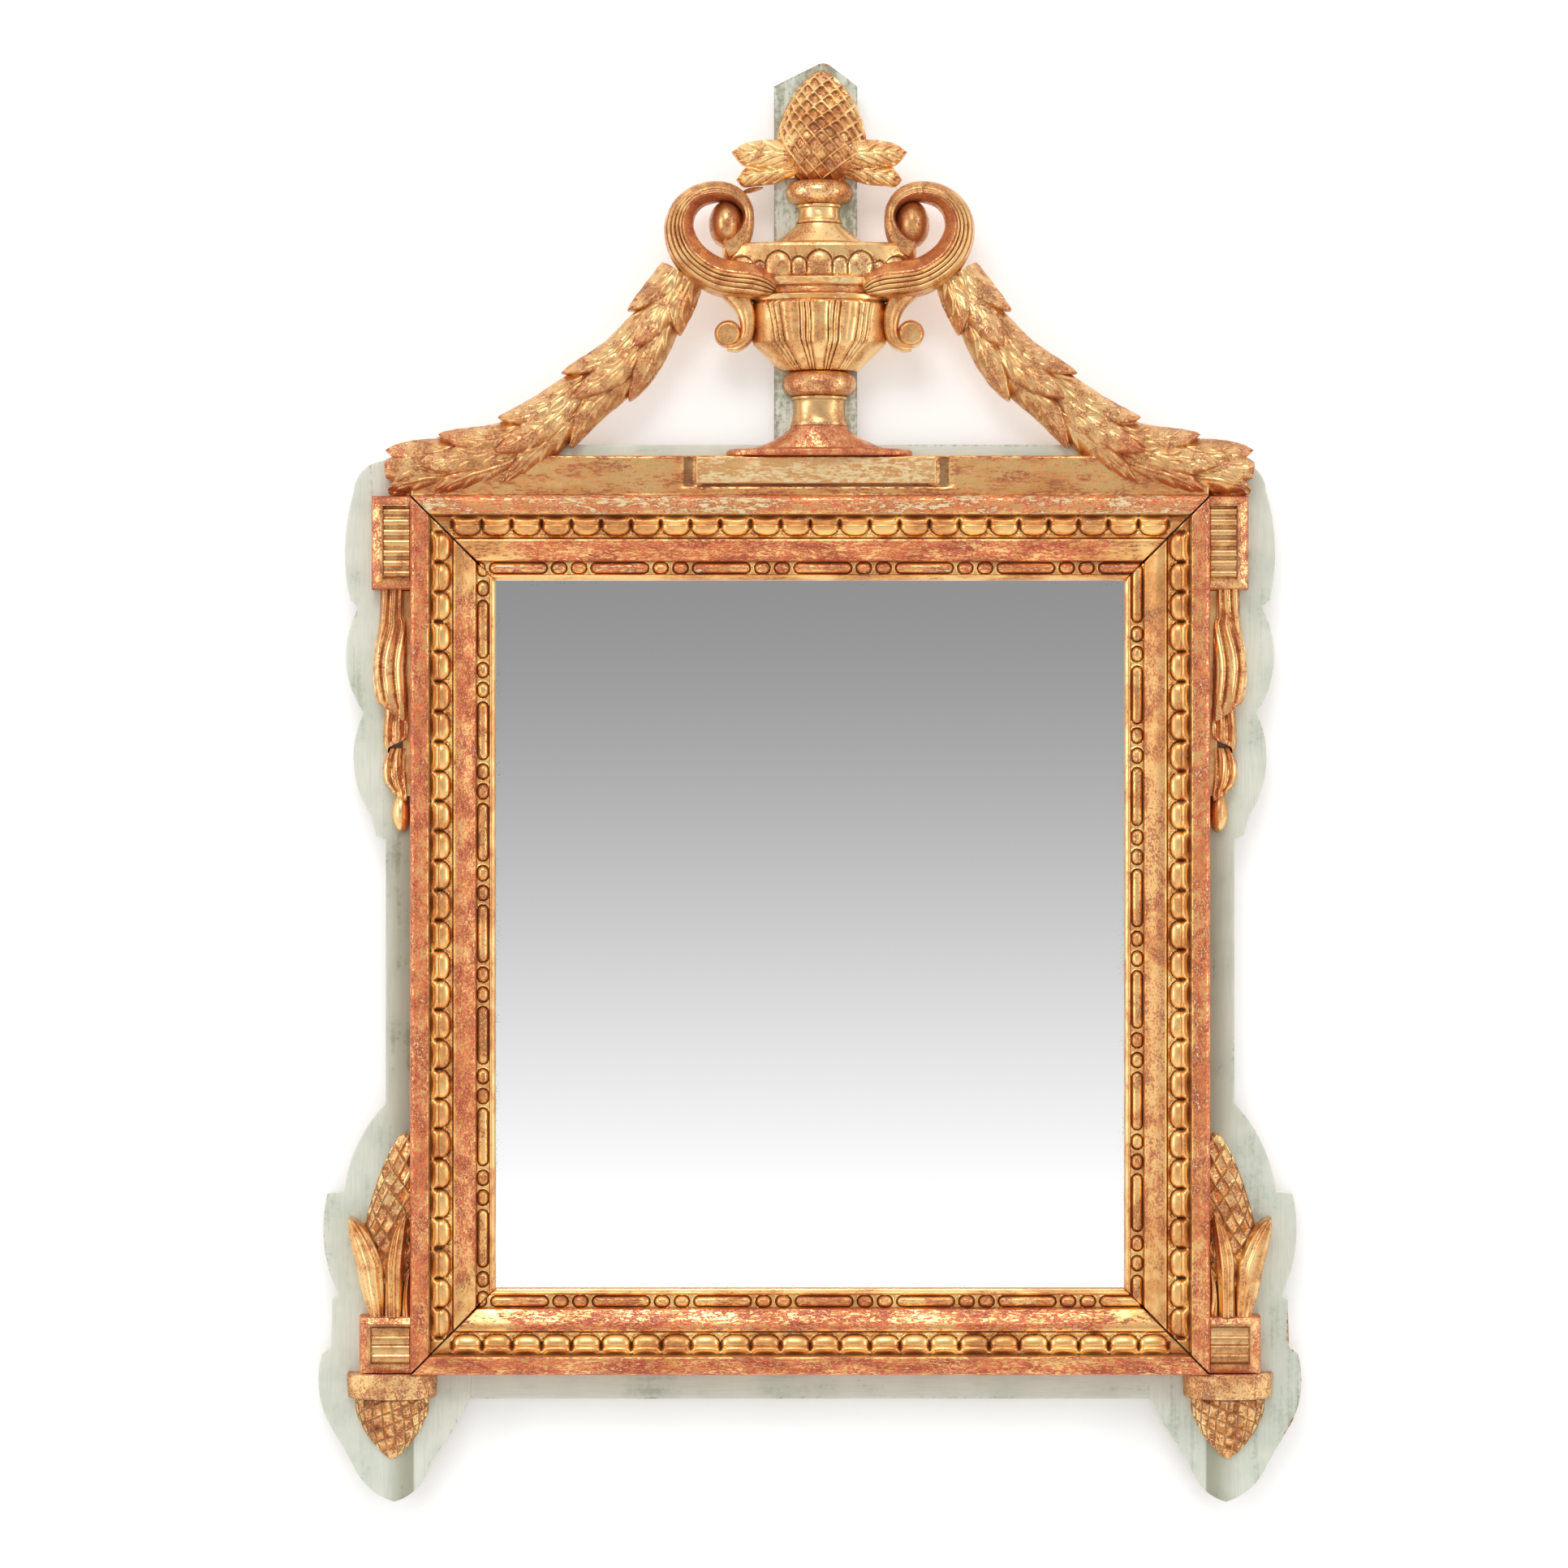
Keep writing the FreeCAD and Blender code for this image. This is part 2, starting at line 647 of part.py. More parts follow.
# Urn. Relief shares are of the half width that they bow out from.
STEM_RELIEF_SHARE = 0.98
RIM_RELIEF_SHARE = 0.9
RIM_GROOVE_SHARE = 0.9
LID_FLARE_RELIEF_SHARE = 0.63
NECK_RELIEF_SHARE = 1.05
URN_CONE_RELIEF_SHARE = 0.8
BOWL_SWELL_SHARE = 0.05
LID_SWELL_SHARE = 0.06


def urn_foot():
    slab = turned_relief(URN_SHIFT, [(FRIEZE_TOP, BASE_SLAB_HALF, BASE_SLAB_RELIEF),
                                     (FRIEZE_TOP + BASE_SLAB_HEIGHT, BASE_SLAB_HALF, BASE_SLAB_RELIEF)])
    stem_end = (STEM_HALF, STEM_HALF * STEM_RELIEF_SHARE)
    flare = turned_relief(URN_SHIFT, flare_levels(FRIEZE_TOP + BASE_SLAB_HEIGHT, STEM_BOTTOM,
                                                  (FOOT_HALF, FOOT_RELIEF), stem_end, FOOT_COVE_POWER))
    return slab.fuse(flare)


def urn_stem():
    relief = STEM_HALF * STEM_RELIEF_SHARE
    torus = bulge_levels(BOWL_BOTTOM - TORUS_HEIGHT, BOWL_BOTTOM, STEM_HALF, relief, TORUS_HALF - STEM_HALF)
    return turned_relief(URN_SHIFT, [(STEM_BOTTOM, STEM_HALF, relief)] + torus)


# Shares of the height, and of the way from the narrow end to the full width
BOWL_SHARES = [(0.0, 0.0), (0.12, 0.06), (0.4, 1.0), (1.0, 1.0)]
LID_SLAB_SHARES = [(0.0, 0.93), (0.35, 1.0), (0.75, 1.0), (1.0, 0.9)]


def urn_bowl():
    """Fluted half bowl: shares of its height, and of the way from its bottom to its full width."""
    sections = []
    for height_share, full_share in BOWL_SHARES:
        half = BOWL_BOTTOM_HALF + (BOWL_HALF - BOWL_BOTTOM_HALF) * full_share
        relief = BOWL_RELIEF * half / BOWL_HALF
        sections.append(lobed_oval(URN_SHIFT, BOWL_BOTTOM + BOWL_HEIGHT * height_share, half, relief,
                                   BOWL_LOBES, BOWL_SWELL_SHARE))
    return Part.makeLoft(sections, True, True)


def urn_rim():
    """Rim of two lips with a hollow between them."""
    relief = BOWL_RELIEF * RIM_RELIEF_SHARE
    lip = RIM_HEIGHT / 3
    hollow = (RIM_BOTTOM + RIM_HEIGHT / 2, RIM_HALF * RIM_GROOVE_SHARE, relief * RIM_GROOVE_SHARE)
    heights = (RIM_BOTTOM, RIM_BOTTOM + lip, LID_BOTTOM - lip, LID_BOTTOM)
    lips = [(height, RIM_HALF, relief) for height in heights]
    return turned_relief(URN_SHIFT, lips[:2] + [hollow] + lips[2:])


def urn_lid():
    """Gadrooned slab under a hollow flare."""
    slab_top = LID_BOTTOM + LID_SLAB_HEIGHT
    sections = [lobed_oval(URN_SHIFT, LID_BOTTOM + LID_SLAB_HEIGHT * up, LID_HALF * full, LID_RELIEF * full,
                           LID_LOBES, LID_SWELL_SHARE) for up, full in LID_SLAB_SHARES]
    slab = Part.makeLoft(sections, True, True)
    foot_end = (LID_HALF / 2, LID_HALF / 2 * LID_FLARE_RELIEF_SHARE)
    neck_end = (LID_TOP_HALF, LID_TOP_HALF * NECK_RELIEF_SHARE)
    flare = turned_relief(URN_SHIFT, flare_levels(slab_top, NECK_BOTTOM, foot_end, neck_end, LID_COVE_POWER))
    return slab.fuse(flare)


def urn_neck():
    top_torus = CONE_BOTTOM - NECK_TORUS_HEIGHT
    relief = NECK_HALF * NECK_RELIEF_SHARE
    column = [(NECK_BOTTOM, NECK_HALF, relief)]
    return turned_relief(URN_SHIFT, column + bulge_levels(top_torus, CONE_BOTTOM, NECK_HALF, relief,
                                                          NECK_TORUS_HALF - NECK_HALF))


URN_CONE_SHARES = [(0.0, 0.42), (0.1, 0.70), (0.22, 0.90), (0.35, 1.0), (0.48, 0.99), (0.6, 0.90),
                   (0.71, 0.77), (0.81, 0.62), (0.9, 0.46), (0.96, 0.30), (1.0, 0.14)]
SIDE_CONE_SHARES = [(0.0, 0.45), (0.1, 0.8), (0.22, 1.0), (0.36, 1.0), (0.5, 0.93), (0.62, 0.82),
                    (0.74, 0.68), (0.84, 0.52), (0.93, 0.34), (1.0, 0.14)]
FOOT_CONE_SHARES = [(0.0, 1.0), (0.14, 1.0), (0.3, 0.92), (0.46, 0.80), (0.62, 0.65), (0.76, 0.48),
                    (0.89, 0.30), (1.0, 0.12)]


def urn_cone():
    relief = CONE_HALF * URN_CONE_RELIEF_SHARE
    cone = pinecone(cone_levels(CONE_HEIGHT, CONE_HALF, relief, URN_CONE_SHARES), CONE_COLUMNS)
    cone.translate(at(URN_SHIFT + CONE_SHIFT, 0, CONE_BOTTOM))
    return cone


# Handle stations: outward of the urn in shares of HANDLE_REACH, up from the rim's foot in shares of
# HANDLE_HEIGHT, half width and relief in shares of HANDLE_HALF and HANDLE_RELIEF.
HANDLE_SHARES = [
    (0.331, 0.190, 1.00, 1.00), (0.537, 0.184, 0.97, 1.00), (0.730, 0.256, 0.94, 1.00),
    (0.861, 0.392, 0.95, 0.96), (0.911, 0.574, 0.81, 0.90), (0.897, 0.744, 0.72, 0.84),
    (0.828, 0.860, 0.60, 0.78), (0.715, 0.914, 0.52, 0.72), (0.609, 0.932, 0.44, 0.68),
    (0.535, 0.890, 0.42, 0.64), (0.478, 0.790, 0.38, 0.58), (0.480, 0.690, 0.34, 0.52),
]
HANDLE_BALL_SHARES = (0.604, 0.660)
HANDLE_BALL_RELIEF_SHARE = 0.8
SCROLL_BALL_RELIEF_SHARE = 0.9
SCROLL_SHARES = [(0.790, -0.06, 1.00, 1.00), (0.724, 0.20, 0.97, 1.00), (0.706, 0.46, 1.00, 0.95),
                 (0.760, 0.72, 0.92, 0.90)]
SCROLL_BALL_SHARES = (0.880, 0.70)


def urn_handle():
    """Left handle: a C scroll from the rim that curls over onto its ball."""
    stations = [(URN_SHIFT - out * HANDLE_REACH, RIM_BOTTOM + up * HANDLE_HEIGHT, half * HANDLE_HALF,
                 relief * HANDLE_RELIEF) for out, up, half, relief in HANDLE_SHARES]
    ball = half_ball(URN_SHIFT - HANDLE_BALL_SHARES[0] * HANDLE_REACH,
                     RIM_BOTTOM + HANDLE_BALL_SHARES[1] * HANDLE_HEIGHT, HANDLE_BALL_RADIUS,
                     HANDLE_RELIEF * HANDLE_BALL_RELIEF_SHARE)
    return scroll(stations).fuse(ball)


def bowl_scroll():
    """Left small scroll that hangs from the handle's root and curls outward."""
    stations = [(URN_SHIFT - out * SCROLL_REACH, RIM_BOTTOM - down * SCROLL_DROP, half * SCROLL_HALF,
                 relief * SCROLL_RELIEF) for out, down, half, relief in SCROLL_SHARES]
    ball = half_ball(URN_SHIFT - SCROLL_BALL_SHARES[0] * SCROLL_REACH,
                     RIM_BOTTOM - SCROLL_BALL_SHARES[1] * SCROLL_DROP, SCROLL_BALL_RADIUS,
                     SCROLL_RELIEF * SCROLL_BALL_RELIEF_SHARE)
    return scroll(stations).fuse(ball)


# Leaf sprigs beside the pinecone: root and tip, outward in shares of SPRIG_LENGTH from the post's
# middle, up in shares of CONE_HEIGHT from the cone's foot.
SPRIG_SHARES = [(0.80, 0.36, 1.95, 0.28), (0.66, 0.08, 1.70, -0.03)]
STALK_SHARES = [(0.9, 0.0), (1.1, 0.1), (1.2, 0.34), (0.8, 0.4)]
SPRIG_ROOT_SHARE = 0.7
STALK_RELIEF_SHARE = 0.6


def cone_leaves():
    """Two leaves and the stalk that joins them to the cone."""
    def place(out_share, up_share):
        return URN_SHIFT - out_share * SPRIG_LENGTH, CONE_BOTTOM + up_share * CONE_HEIGHT

    leaves = [leaf(place(*row[:2]), place(*row[2:]), SPRIG_WIDTH, SPRIG_RELIEF * SPRIG_ROOT_SHARE,
                   SPRIG_RELIEF) for row in SPRIG_SHARES]
    stalk = board([place(*row) for row in STALK_SHARES], FACE, FACE + SPRIG_RELIEF * STALK_RELIEF_SHARE)
    return fused(leaves + [stalk])


# Garland line from the urn's handle to the shoulder, in shares of its run outward and its fall
GARLAND_LINE_SHARES = [(0.0, 0.0), (0.09, 0.215), (0.21, 0.47), (0.345, 0.645), (0.495, 0.795),
                       (0.645, 0.902), (0.82, 0.965), (1.0, 1.0)]
GARLAND_WIDTH_SHARES = [0.70, 0.78, 0.86, 0.94, 1.0, 1.0, 0.94, 0.74]
LEAF_OFFSET_SHARE = 0.5
LEAF_ROOT_SHARE = 0.55
SIDE_LEAF_SHARE = 0.8
LAST_LEAF_SHARE = 0.45


def garland_point(share):
    """Place and half width on the left garland's line, at a share of its stations."""
    place = share * (len(GARLAND_LINE_SHARES) - 1)
    index = min(int(place), len(GARLAND_LINE_SHARES) - 2)
    rest = place - index
    start = (URN_SHIFT - GARLAND_START_OUT, FRAME_TOP + GARLAND_START_RISE)
    end = (-FRAME_SIDE - GARLAND_END_OUT, FRAME_TOP + GARLAND_END_RISE)
    mixed = [a + (b - a) * rest for a, b in zip(GARLAND_LINE_SHARES[index], GARLAND_LINE_SHARES[index + 1])]
    narrow, wide = GARLAND_WIDTH_SHARES[index], GARLAND_WIDTH_SHARES[index + 1]
    width = narrow + (wide - narrow) * rest
    x = start[0] + (end[0] - start[0]) * mixed[0]
    z = start[1] + (end[1] - start[1]) * mixed[1]
    return x, z, GARLAND_HALF * width


def garland():
    """Left garland: rows of three laurel leaves, each row over the roots of the next."""
    leaves = []
    end_x, end_z, end_half = garland_point(1)
    for row in range(GARLAND_ROWS):
        x, z, half = garland_point(row / GARLAND_ROWS)
        ahead_x, ahead_z, ahead_half = garland_point((row + 0.5) / GARLAND_ROWS)
        heading = math.atan2(ahead_z - z, ahead_x - x)
        to_end = math.hypot(end_x - x, end_z - z)
        length = max(min(GARLAND_LEAF_LENGTH, to_end), GARLAND_LEAF_LENGTH * LAST_LEAF_SHARE)
        for side in (-1, 1, 0):
            angle = heading + side * math.radians(GARLAND_FAN_ANGLE)
            offset = side * half * LEAF_OFFSET_SHARE
            base = (x - math.sin(heading) * offset, z + math.cos(heading) * offset)
            tip = (base[0] + math.cos(angle) * length, base[1] + math.sin(angle) * length)
            high = GARLAND_RELIEF * (SIDE_LEAF_SHARE if side else 1)
            leaves.append(leaf(base, tip, GARLAND_LEAF_WIDTH, high * LEAF_ROOT_SHARE, high))
    whole = fused(leaves)
    reach = FRAME_SIDE + SIDE_REACH
    return whole.common(box(-reach, reach, FACE, FACE + GARLAND_RELIEF, FRAME_TOP, CONE_TOP))


# Reeded blocks
def reeded_block(left, bottom, width, height, reeds):
    """Block with a sunk panel of level reeds."""
    right = left + width
    top = bottom + height
    front = FACE + BLOCK_RELIEF
    body = box(left, right, FACE, front, bottom, top)
    panel = box(left + BLOCK_BORDER, right - BLOCK_BORDER, front - BLOCK_SINK, front + OVERRUN,
                bottom + BLOCK_BORDER, top - BLOCK_BORDER)
    pitch = (height - 2 * BLOCK_BORDER) / reeds
    radius = min(pitch / 2, BLOCK_SINK)
    rods = []
    for index in range(reeds):
        z = bottom + BLOCK_BORDER + pitch * (index + 0.5)
        start = at(left + BLOCK_BORDER, front - BLOCK_SINK, z)
        rod = Part.makeCylinder(radius, width - 2 * BLOCK_BORDER, start, FreeCAD.Vector(1, 0, 0))
        rods.append(rod)
    return body.cut(panel).multiFuse(rods)


# Drapery drop: tiers of folds from the top. Shares of the drop's height for head, outer hem and
# inner hem, of its width for the near and far edge, and of its relief.
TIER_SHARES = [(0.0, 0.475, 0.53, 0.0, 1.0, 1.0), (0.45, 0.66, 0.595, 0.05, 0.7, 0.86),
               (0.58, 0.92, 0.89, 0.0, 0.72, 0.72)]
FOLD_RISE_SHARE = 0.3
DROP_BALL_RELIEF_SHARE = 0.8


def drapery_drop():
    """Left drop: three fluted tiers, each tucked under the one above, over a ball."""
    right = -FRAME_SIDE
    top = FRAME_TOP - TOP_BLOCK_HEIGHT
    tiers = []
    for head, outer_hem, inner_hem, near, far, relief in TIER_SHARES:
        inner = right - DROP_WIDTH * near
        outer = right - DROP_WIDTH * far
        pitch = (inner - outer) / DROP_TIER_FOLDS
        crest = FACE + DROP_RELIEF * relief
        bed = crest - pitch * FOLD_RISE_SHARE
        start = at(outer, FACE, top)
        here = at(outer, bed, top)
        edges = [Part.makeLine(start, here)]
        for fold in range(DROP_TIER_FOLDS):
            end = at(outer + pitch * (fold + 1), bed, top)
            edges.append(Part.Arc(here, at(outer + pitch * (fold + 0.5), crest, top), end).toShape())
            here = end
        corner = at(inner, FACE, top)
        edges += [Part.makeLine(here, corner), Part.makeLine(corner, start)]
        column = Part.Face(Part.Wire(edges)).extrude(FreeCAD.Vector(0, 0, -DROP_HEIGHT))
        hem = board([(outer, top - DROP_HEIGHT * head), (inner, top - DROP_HEIGHT * head),
                     (inner, top - DROP_HEIGHT * inner_hem), (outer, top - DROP_HEIGHT * outer_hem)],
                    FACE, crest + OVERRUN)
        tiers.append(column.common(hem))
    middle = right - DROP_WIDTH * (TIER_SHARES[-1][3] + TIER_SHARES[-1][4]) / 2
    ball = half_ball(middle, top - DROP_HEIGHT + DROP_BALL_RADIUS, DROP_BALL_RADIUS,
                     DROP_RELIEF * DROP_BALL_RELIEF_SHARE)
    return fused(tiers + [ball])


# Side pinecone and its cup of leaves. Cup leaves are root and tip, outward in shares of the cup
# leaf's width and up in shares of its length, from the cone's foot.
CUP_SHARES = [(0.50, -0.15, 1.10, 0.82), (-0.45, -0.15, -0.50, 0.86), (0.0, -0.16, 0.16, 0.45)]
CUP_FOOT_SHARE = 0.15
CUP_TOP_SHARE = 0.25
CUP_ROOT_SHARE = 0.8


def beside_frame(shape):
    """Carry a carving from the origin to the side cone's foot and trim it along the moulding."""
    shape.translate(FreeCAD.Vector(-FRAME_SIDE - SIDE_CONE_OUT, 0, FRAME_BOTTOM + SIDE_CONE_RISE))
    return shape.common(box(-FRAME_SIDE - SIDE_REACH, -FRAME_SIDE, FACE, FACE + SIDE_CONE_RELIEF,
                            FRAME_BOTTOM, FRAME_TOP))


def side_cone():
    cone = pinecone(cone_levels(SIDE_CONE_LENGTH, SIDE_CONE_HALF, SIDE_CONE_RELIEF, SIDE_CONE_SHARES),
                    SIDE_CONE_COLUMNS)
    cone.rotate(FreeCAD.Vector(0, 0, 0), FreeCAD.Vector(0, 1, 0), SIDE_CONE_LEAN)
    return beside_frame(cone)


def side_leaves():
    leaves = []
    for root_out, root_up, tip_out, tip_up in CUP_SHARES:
        root = (-root_out * CUP_LEAF_WIDTH, root_up * CUP_LEAF_LENGTH)
        tip = (-tip_out * CUP_LEAF_WIDTH, tip_up * CUP_LEAF_LENGTH)
        leaves.append(leaf(root, tip, CUP_LEAF_WIDTH, CUP_LEAF_RELIEF * CUP_ROOT_SHARE, CUP_LEAF_RELIEF))
    cup = box(-CUP_LEAF_WIDTH / 2, CUP_LEAF_WIDTH / 2, FACE, FACE + CUP_LEAF_RELIEF * CUP_ROOT_SHARE,
              -CUP_LEAF_LENGTH * CUP_FOOT_SHARE, CUP_LEAF_LENGTH * CUP_TOP_SHARE)
    return beside_frame(fused(leaves + [cup]))


# Feet
BAND_SWELL_SHARE = 0.12


def foot_band():
    swell = FOOT_BAND_HEIGHT * BAND_SWELL_SHARE
    levels = bulge_levels(FRAME_BOTTOM - FOOT_BAND_HEIGHT, FRAME_BOTTOM, FOOT_BAND_HALF - swell,
                          FOOT_BAND_RELIEF - swell, swell)
    return turned_relief(-FRAME_SIDE - FOOT_OUT, levels)


def foot_cone():
    """Pinecone that hangs tip down under the band."""
    levels = cone_levels(-FOOT_CONE_HEIGHT, FOOT_CONE_HALF, FOOT_CONE_RELIEF, FOOT_CONE_SHARES)
    cone = pinecone(levels, FOOT_CONE_COLUMNS)
    cone.translate(at(-FRAME_SIDE - FOOT_OUT, 0, FRAME_BOTTOM - FOOT_BAND_HEIGHT))
    return cone


# Glass, blocks and planks
def mirror_plate():
    side = SIGHT_SIDE + GLASS_LAP
    top = SIGHT_TOP + GLASS_LAP
    return box(-side, side, FACE - GLASS_THICKNESS, FACE, -top, top)


GLAZING_SHARES = (-0.5, 0.5)


def glazing_blocks():
    """Two blocks along each edge of the opening, against the back of the glass."""
    front = FACE - GLASS_THICKNESS
    back = front - BLOCK_DEPTH
    blocks = []
    for sign in (-1, 1):
        for share in GLAZING_SHARES:
            z = share * OPENING_TOP
            x = share * OPENING_SIDE
            sides = sorted((sign * OPENING_SIDE, sign * (OPENING_SIDE - BLOCK_REACH)))
            blocks.append(box(sides[0], sides[1], back, front, z - BLOCK_LENGTH / 2, z + BLOCK_LENGTH / 2))
            ends = sorted((sign * OPENING_TOP, sign * (OPENING_TOP - BLOCK_REACH)))
            blocks.append(box(x - BLOCK_LENGTH / 2, x + BLOCK_LENGTH / 2, back, front, ends[0], ends[1]))
    return Part.makeCompound(blocks)


def plank(left, right):
    return box(left, right, 0, PLANK_THICKNESS, -PLANK_TOP, PLANK_TOP)


SIDE_NAIL_SHARES = (-0.33, 0.33)


def plank_nails():
    """Two nails in each end of each plank, and two more down each outer side."""
    half_centre = CENTRE_PLANK_WIDTH / 2
    row = PLANK_TOP - NAIL_MARGIN
    columns = []
    for inner, outer in ((half_centre + PLANK_GAP, PLANK_SIDE), (-PLANK_SIDE, -half_centre - PLANK_GAP),
                         (-half_centre, half_centre)):
        quarter = (outer - inner) / 4
        columns += [inner + quarter, outer - quarter]
    places = [(x, z) for x in columns for z in (-row, row)]
    places += [(sign * (PLANK_SIDE - NAIL_MARGIN), share * PLANK_TOP) for sign in (-1, 1)
               for share in SIDE_NAIL_SHARES]
    return Part.makeCompound([peg(NAIL_RADIUS, x, z, 0, NAIL_LENGTH) for x, z in places])


# Hanging straps, their screws and the rings
STRAP_FACE = GROUND_BACK - 2 * STRAP_LAYER
BARREL_RADIUS = RING_WIRE_RADIUS + RING_FIT + STRAP_LAYER
RING_DEPTH = GROUND_BACK - BARREL_RADIUS
RING_HEIGHT = TOP_RAIL_TOP - HANGER_DROP
SCREW_SHARES = (0.42, 0.8)


def screw(x, z):
    """Countersunk screw from the strap's face into the rail."""
    mouth = at(x, STRAP_FACE, z)
    head = Part.makeCone(SCREW_HEAD_RADIUS, SCREW_RADIUS, SCREW_HEAD_HEIGHT, mouth, at(0, 1, 0))
    shank = peg(SCREW_RADIUS, x, z, STRAP_FACE + SCREW_HEAD_HEIGHT, STRAP_FACE + SCREW_LENGTH)
    return head.fuse(shank)


def hanger_screws(x):
    return [screw(x, RING_HEIGHT - STRAP_LENGTH * share) for share in SCREW_SHARES]


def hanger_strap(x):
    """Strap folded round the ring's bar, flat on the rail's back."""
    left = x - STRAP_WIDTH / 2
    plate = box(left, left + STRAP_WIDTH, STRAP_FACE, GROUND_BACK, RING_HEIGHT - STRAP_LENGTH, RING_HEIGHT)
    along = FreeCAD.Vector(1, 0, 0)
    barrel = Part.makeCylinder(BARREL_RADIUS, STRAP_WIDTH, at(left, RING_DEPTH, RING_HEIGHT), along)
    bore = Part.makeCylinder(RING_WIRE_RADIUS + RING_FIT, STRAP_WIDTH + 2 * OVERRUN,
                             at(left - OVERRUN, RING_DEPTH, RING_HEIGHT), along)
    return plate.fuse(barrel).removeSplitter().cut([bore] + hanger_screws(x))


def d_ring(x):
    """Ring of round wire: a straight bar, two rounded corners and a half round bow."""
    corner = RING_CORNER_RADIUS
    bow = RING_REACH - RING_HALF
    bar = RING_HALF - corner
    bend = corner * math.sqrt(0.5)
    steps = [(bar, 0), (bar + bend, bend - corner, RING_HALF, -corner), (RING_HALF, -bow),
             (0, -RING_REACH, -RING_HALF, -bow), (-RING_HALF, -corner),
             (-bar - bend, bend - corner, -bar, 0)]
    path = outline_wire(steps, 0)
    section = Part.Wire(Part.makeCircle(RING_WIRE_RADIUS, at(RING_HALF, 0, -(corner + bow) / 2),
                                        FreeCAD.Vector(0, 0, 1)))
    ring = path.makePipeShell([section], True, False)
    ring.rotate(FreeCAD.Vector(0, 0, 0), FreeCAD.Vector(1, 0, 0), RING_REST_TILT)
    ring.translate(at(x, RING_DEPTH, RING_HEIGHT))
    return ring


def assembly():
    """Every node of the mirror by name."""
    nodes = {}
    nails = plank_nails()
    joint_nails = post_nails()
    hanger_x = HANGER_SPREAD / 2
    screws = Part.makeCompound(hanger_screws(-hanger_x) + hanger_screws(hanger_x))

    rail_top = rail_board(OPENING_TOP, TOP_RAIL_TOP)
    rail_bottom = rail_board(BOTTOM_RAIL_BOTTOM, -OPENING_TOP)
    stile = board(stile_outline(), GROUND_BACK, FACE)
    nodes["ground_stile_left"] = stile.cut([rail_top, rail_bottom, nails])
    nodes["ground_stile_right"] = mirrored(stile).cut([rail_top, rail_bottom, nails])
    nodes["ground_rail_top"] = rail_top.cut([post_notch(), nails, joint_nails, screws])
    nodes["ground_rail_bottom"] = rail_bottom.cut(nails)
    nodes["crest_post"] = crest_post().cut(joint_nails)
    nodes["post_nails"] = joint_nails

    nodes["moulding_top"] = moulding(FRAME_WIDTH, FRAME_TOP, 0)
    nodes["moulding_bottom"] = moulding(FRAME_WIDTH, FRAME_TOP, 180)
    nodes["moulding_left"] = moulding(FRAME_HEIGHT, FRAME_SIDE, -90)
    nodes["moulding_right"] = moulding(FRAME_HEIGHT, FRAME_SIDE, 90)

    frieze = box(-FRAME_SIDE, FRAME_SIDE, FACE, FRIEZE_FRONT, FRAME_TOP, FRIEZE_TOP)
    nodes["frieze_board"] = frieze
    nodes["frieze_tablet"] = frieze_tablet()

    left_handle = urn_handle()
    handles = [left_handle, mirrored(left_handle, URN_SHIFT)]
    nodes["urn_foot"] = urn_foot()
    nodes["urn_stem"] = urn_stem()
    bowl = urn_bowl()
    rim = urn_rim().cut(handles)
    nodes["urn_bowl"] = bowl.cut(handles)
    nodes["urn_rim"] = rim
    nodes["urn_lid"] = urn_lid().cut(handles)
    nodes["urn_neck"] = urn_neck()
    cone = urn_cone()
    nodes["urn_cone"] = cone
    small_scroll = bowl_scroll()
    sprig = cone_leaves()
    laurel = garland()
    for side, handle, place in (("left", handles[0], lambda shape: shape),
                                ("right", handles[1], lambda shape: mirrored(shape, URN_SHIFT))):
        nodes["urn_handle_" + side] = handle
        nodes["bowl_scroll_" + side] = place(small_scroll).cut([bowl, rim, handle])
        nodes["cone_leaves_" + side] = place(sprig).cut([cone, nodes["urn_neck"]])
        nodes["garland_" + side] = place(laurel).cut([frieze, handle])

    top_block = reeded_block(-FRAME_SIDE - TOP_BLOCK_WIDTH, FRAME_TOP - TOP_BLOCK_HEIGHT, TOP_BLOCK_WIDTH,
                             TOP_BLOCK_HEIGHT, TOP_BLOCK_REEDS)
    bottom_block = reeded_block(-FRAME_SIDE - BOTTOM_BLOCK_WIDTH, FRAME_BOTTOM, BOTTOM_BLOCK_WIDTH,
                                BOTTOM_BLOCK_HEIGHT, BOTTOM_BLOCK_REEDS)
    cup = side_leaves()
    left_carvings = {
        "corner_block_top": top_block,
        "corner_block_bottom": bottom_block,
        "drapery_drop": drapery_drop(),
        "side_leaves": cup.cut(bottom_block),
        "side_cone": side_cone().cut([cup, bottom_block]),
        "foot_band": foot_band(),
        "foot_cone": foot_cone(),
    }
    for name, shape in left_carvings.items():
        nodes[name + "_left"] = shape
        nodes[name + "_right"] = mirrored(shape)

    nodes["mirror_plate"] = mirror_plate()
    nodes["glazing_blocks"] = glazing_blocks()
    half_centre = CENTRE_PLANK_WIDTH / 2
    nodes["back_plank_left"] = plank(-PLANK_SIDE, -half_centre - PLANK_GAP).cut(nails)
    nodes["back_plank_centre"] = plank(-half_centre, half_centre).cut(nails)
    nodes["back_plank_right"] = plank(half_centre + PLANK_GAP, PLANK_SIDE).cut(nails)
    nodes["back_board_nails"] = nails

    nodes["hanger_strap_left"] = hanger_strap(-hanger_x)
    nodes["hanger_strap_right"] = hanger_strap(hanger_x)
    nodes["hanger_screws"] = screws
    nodes["d_ring_left"] = d_ring(-hanger_x)
    nodes["d_ring_right"] = d_ring(hanger_x)
    return nodes


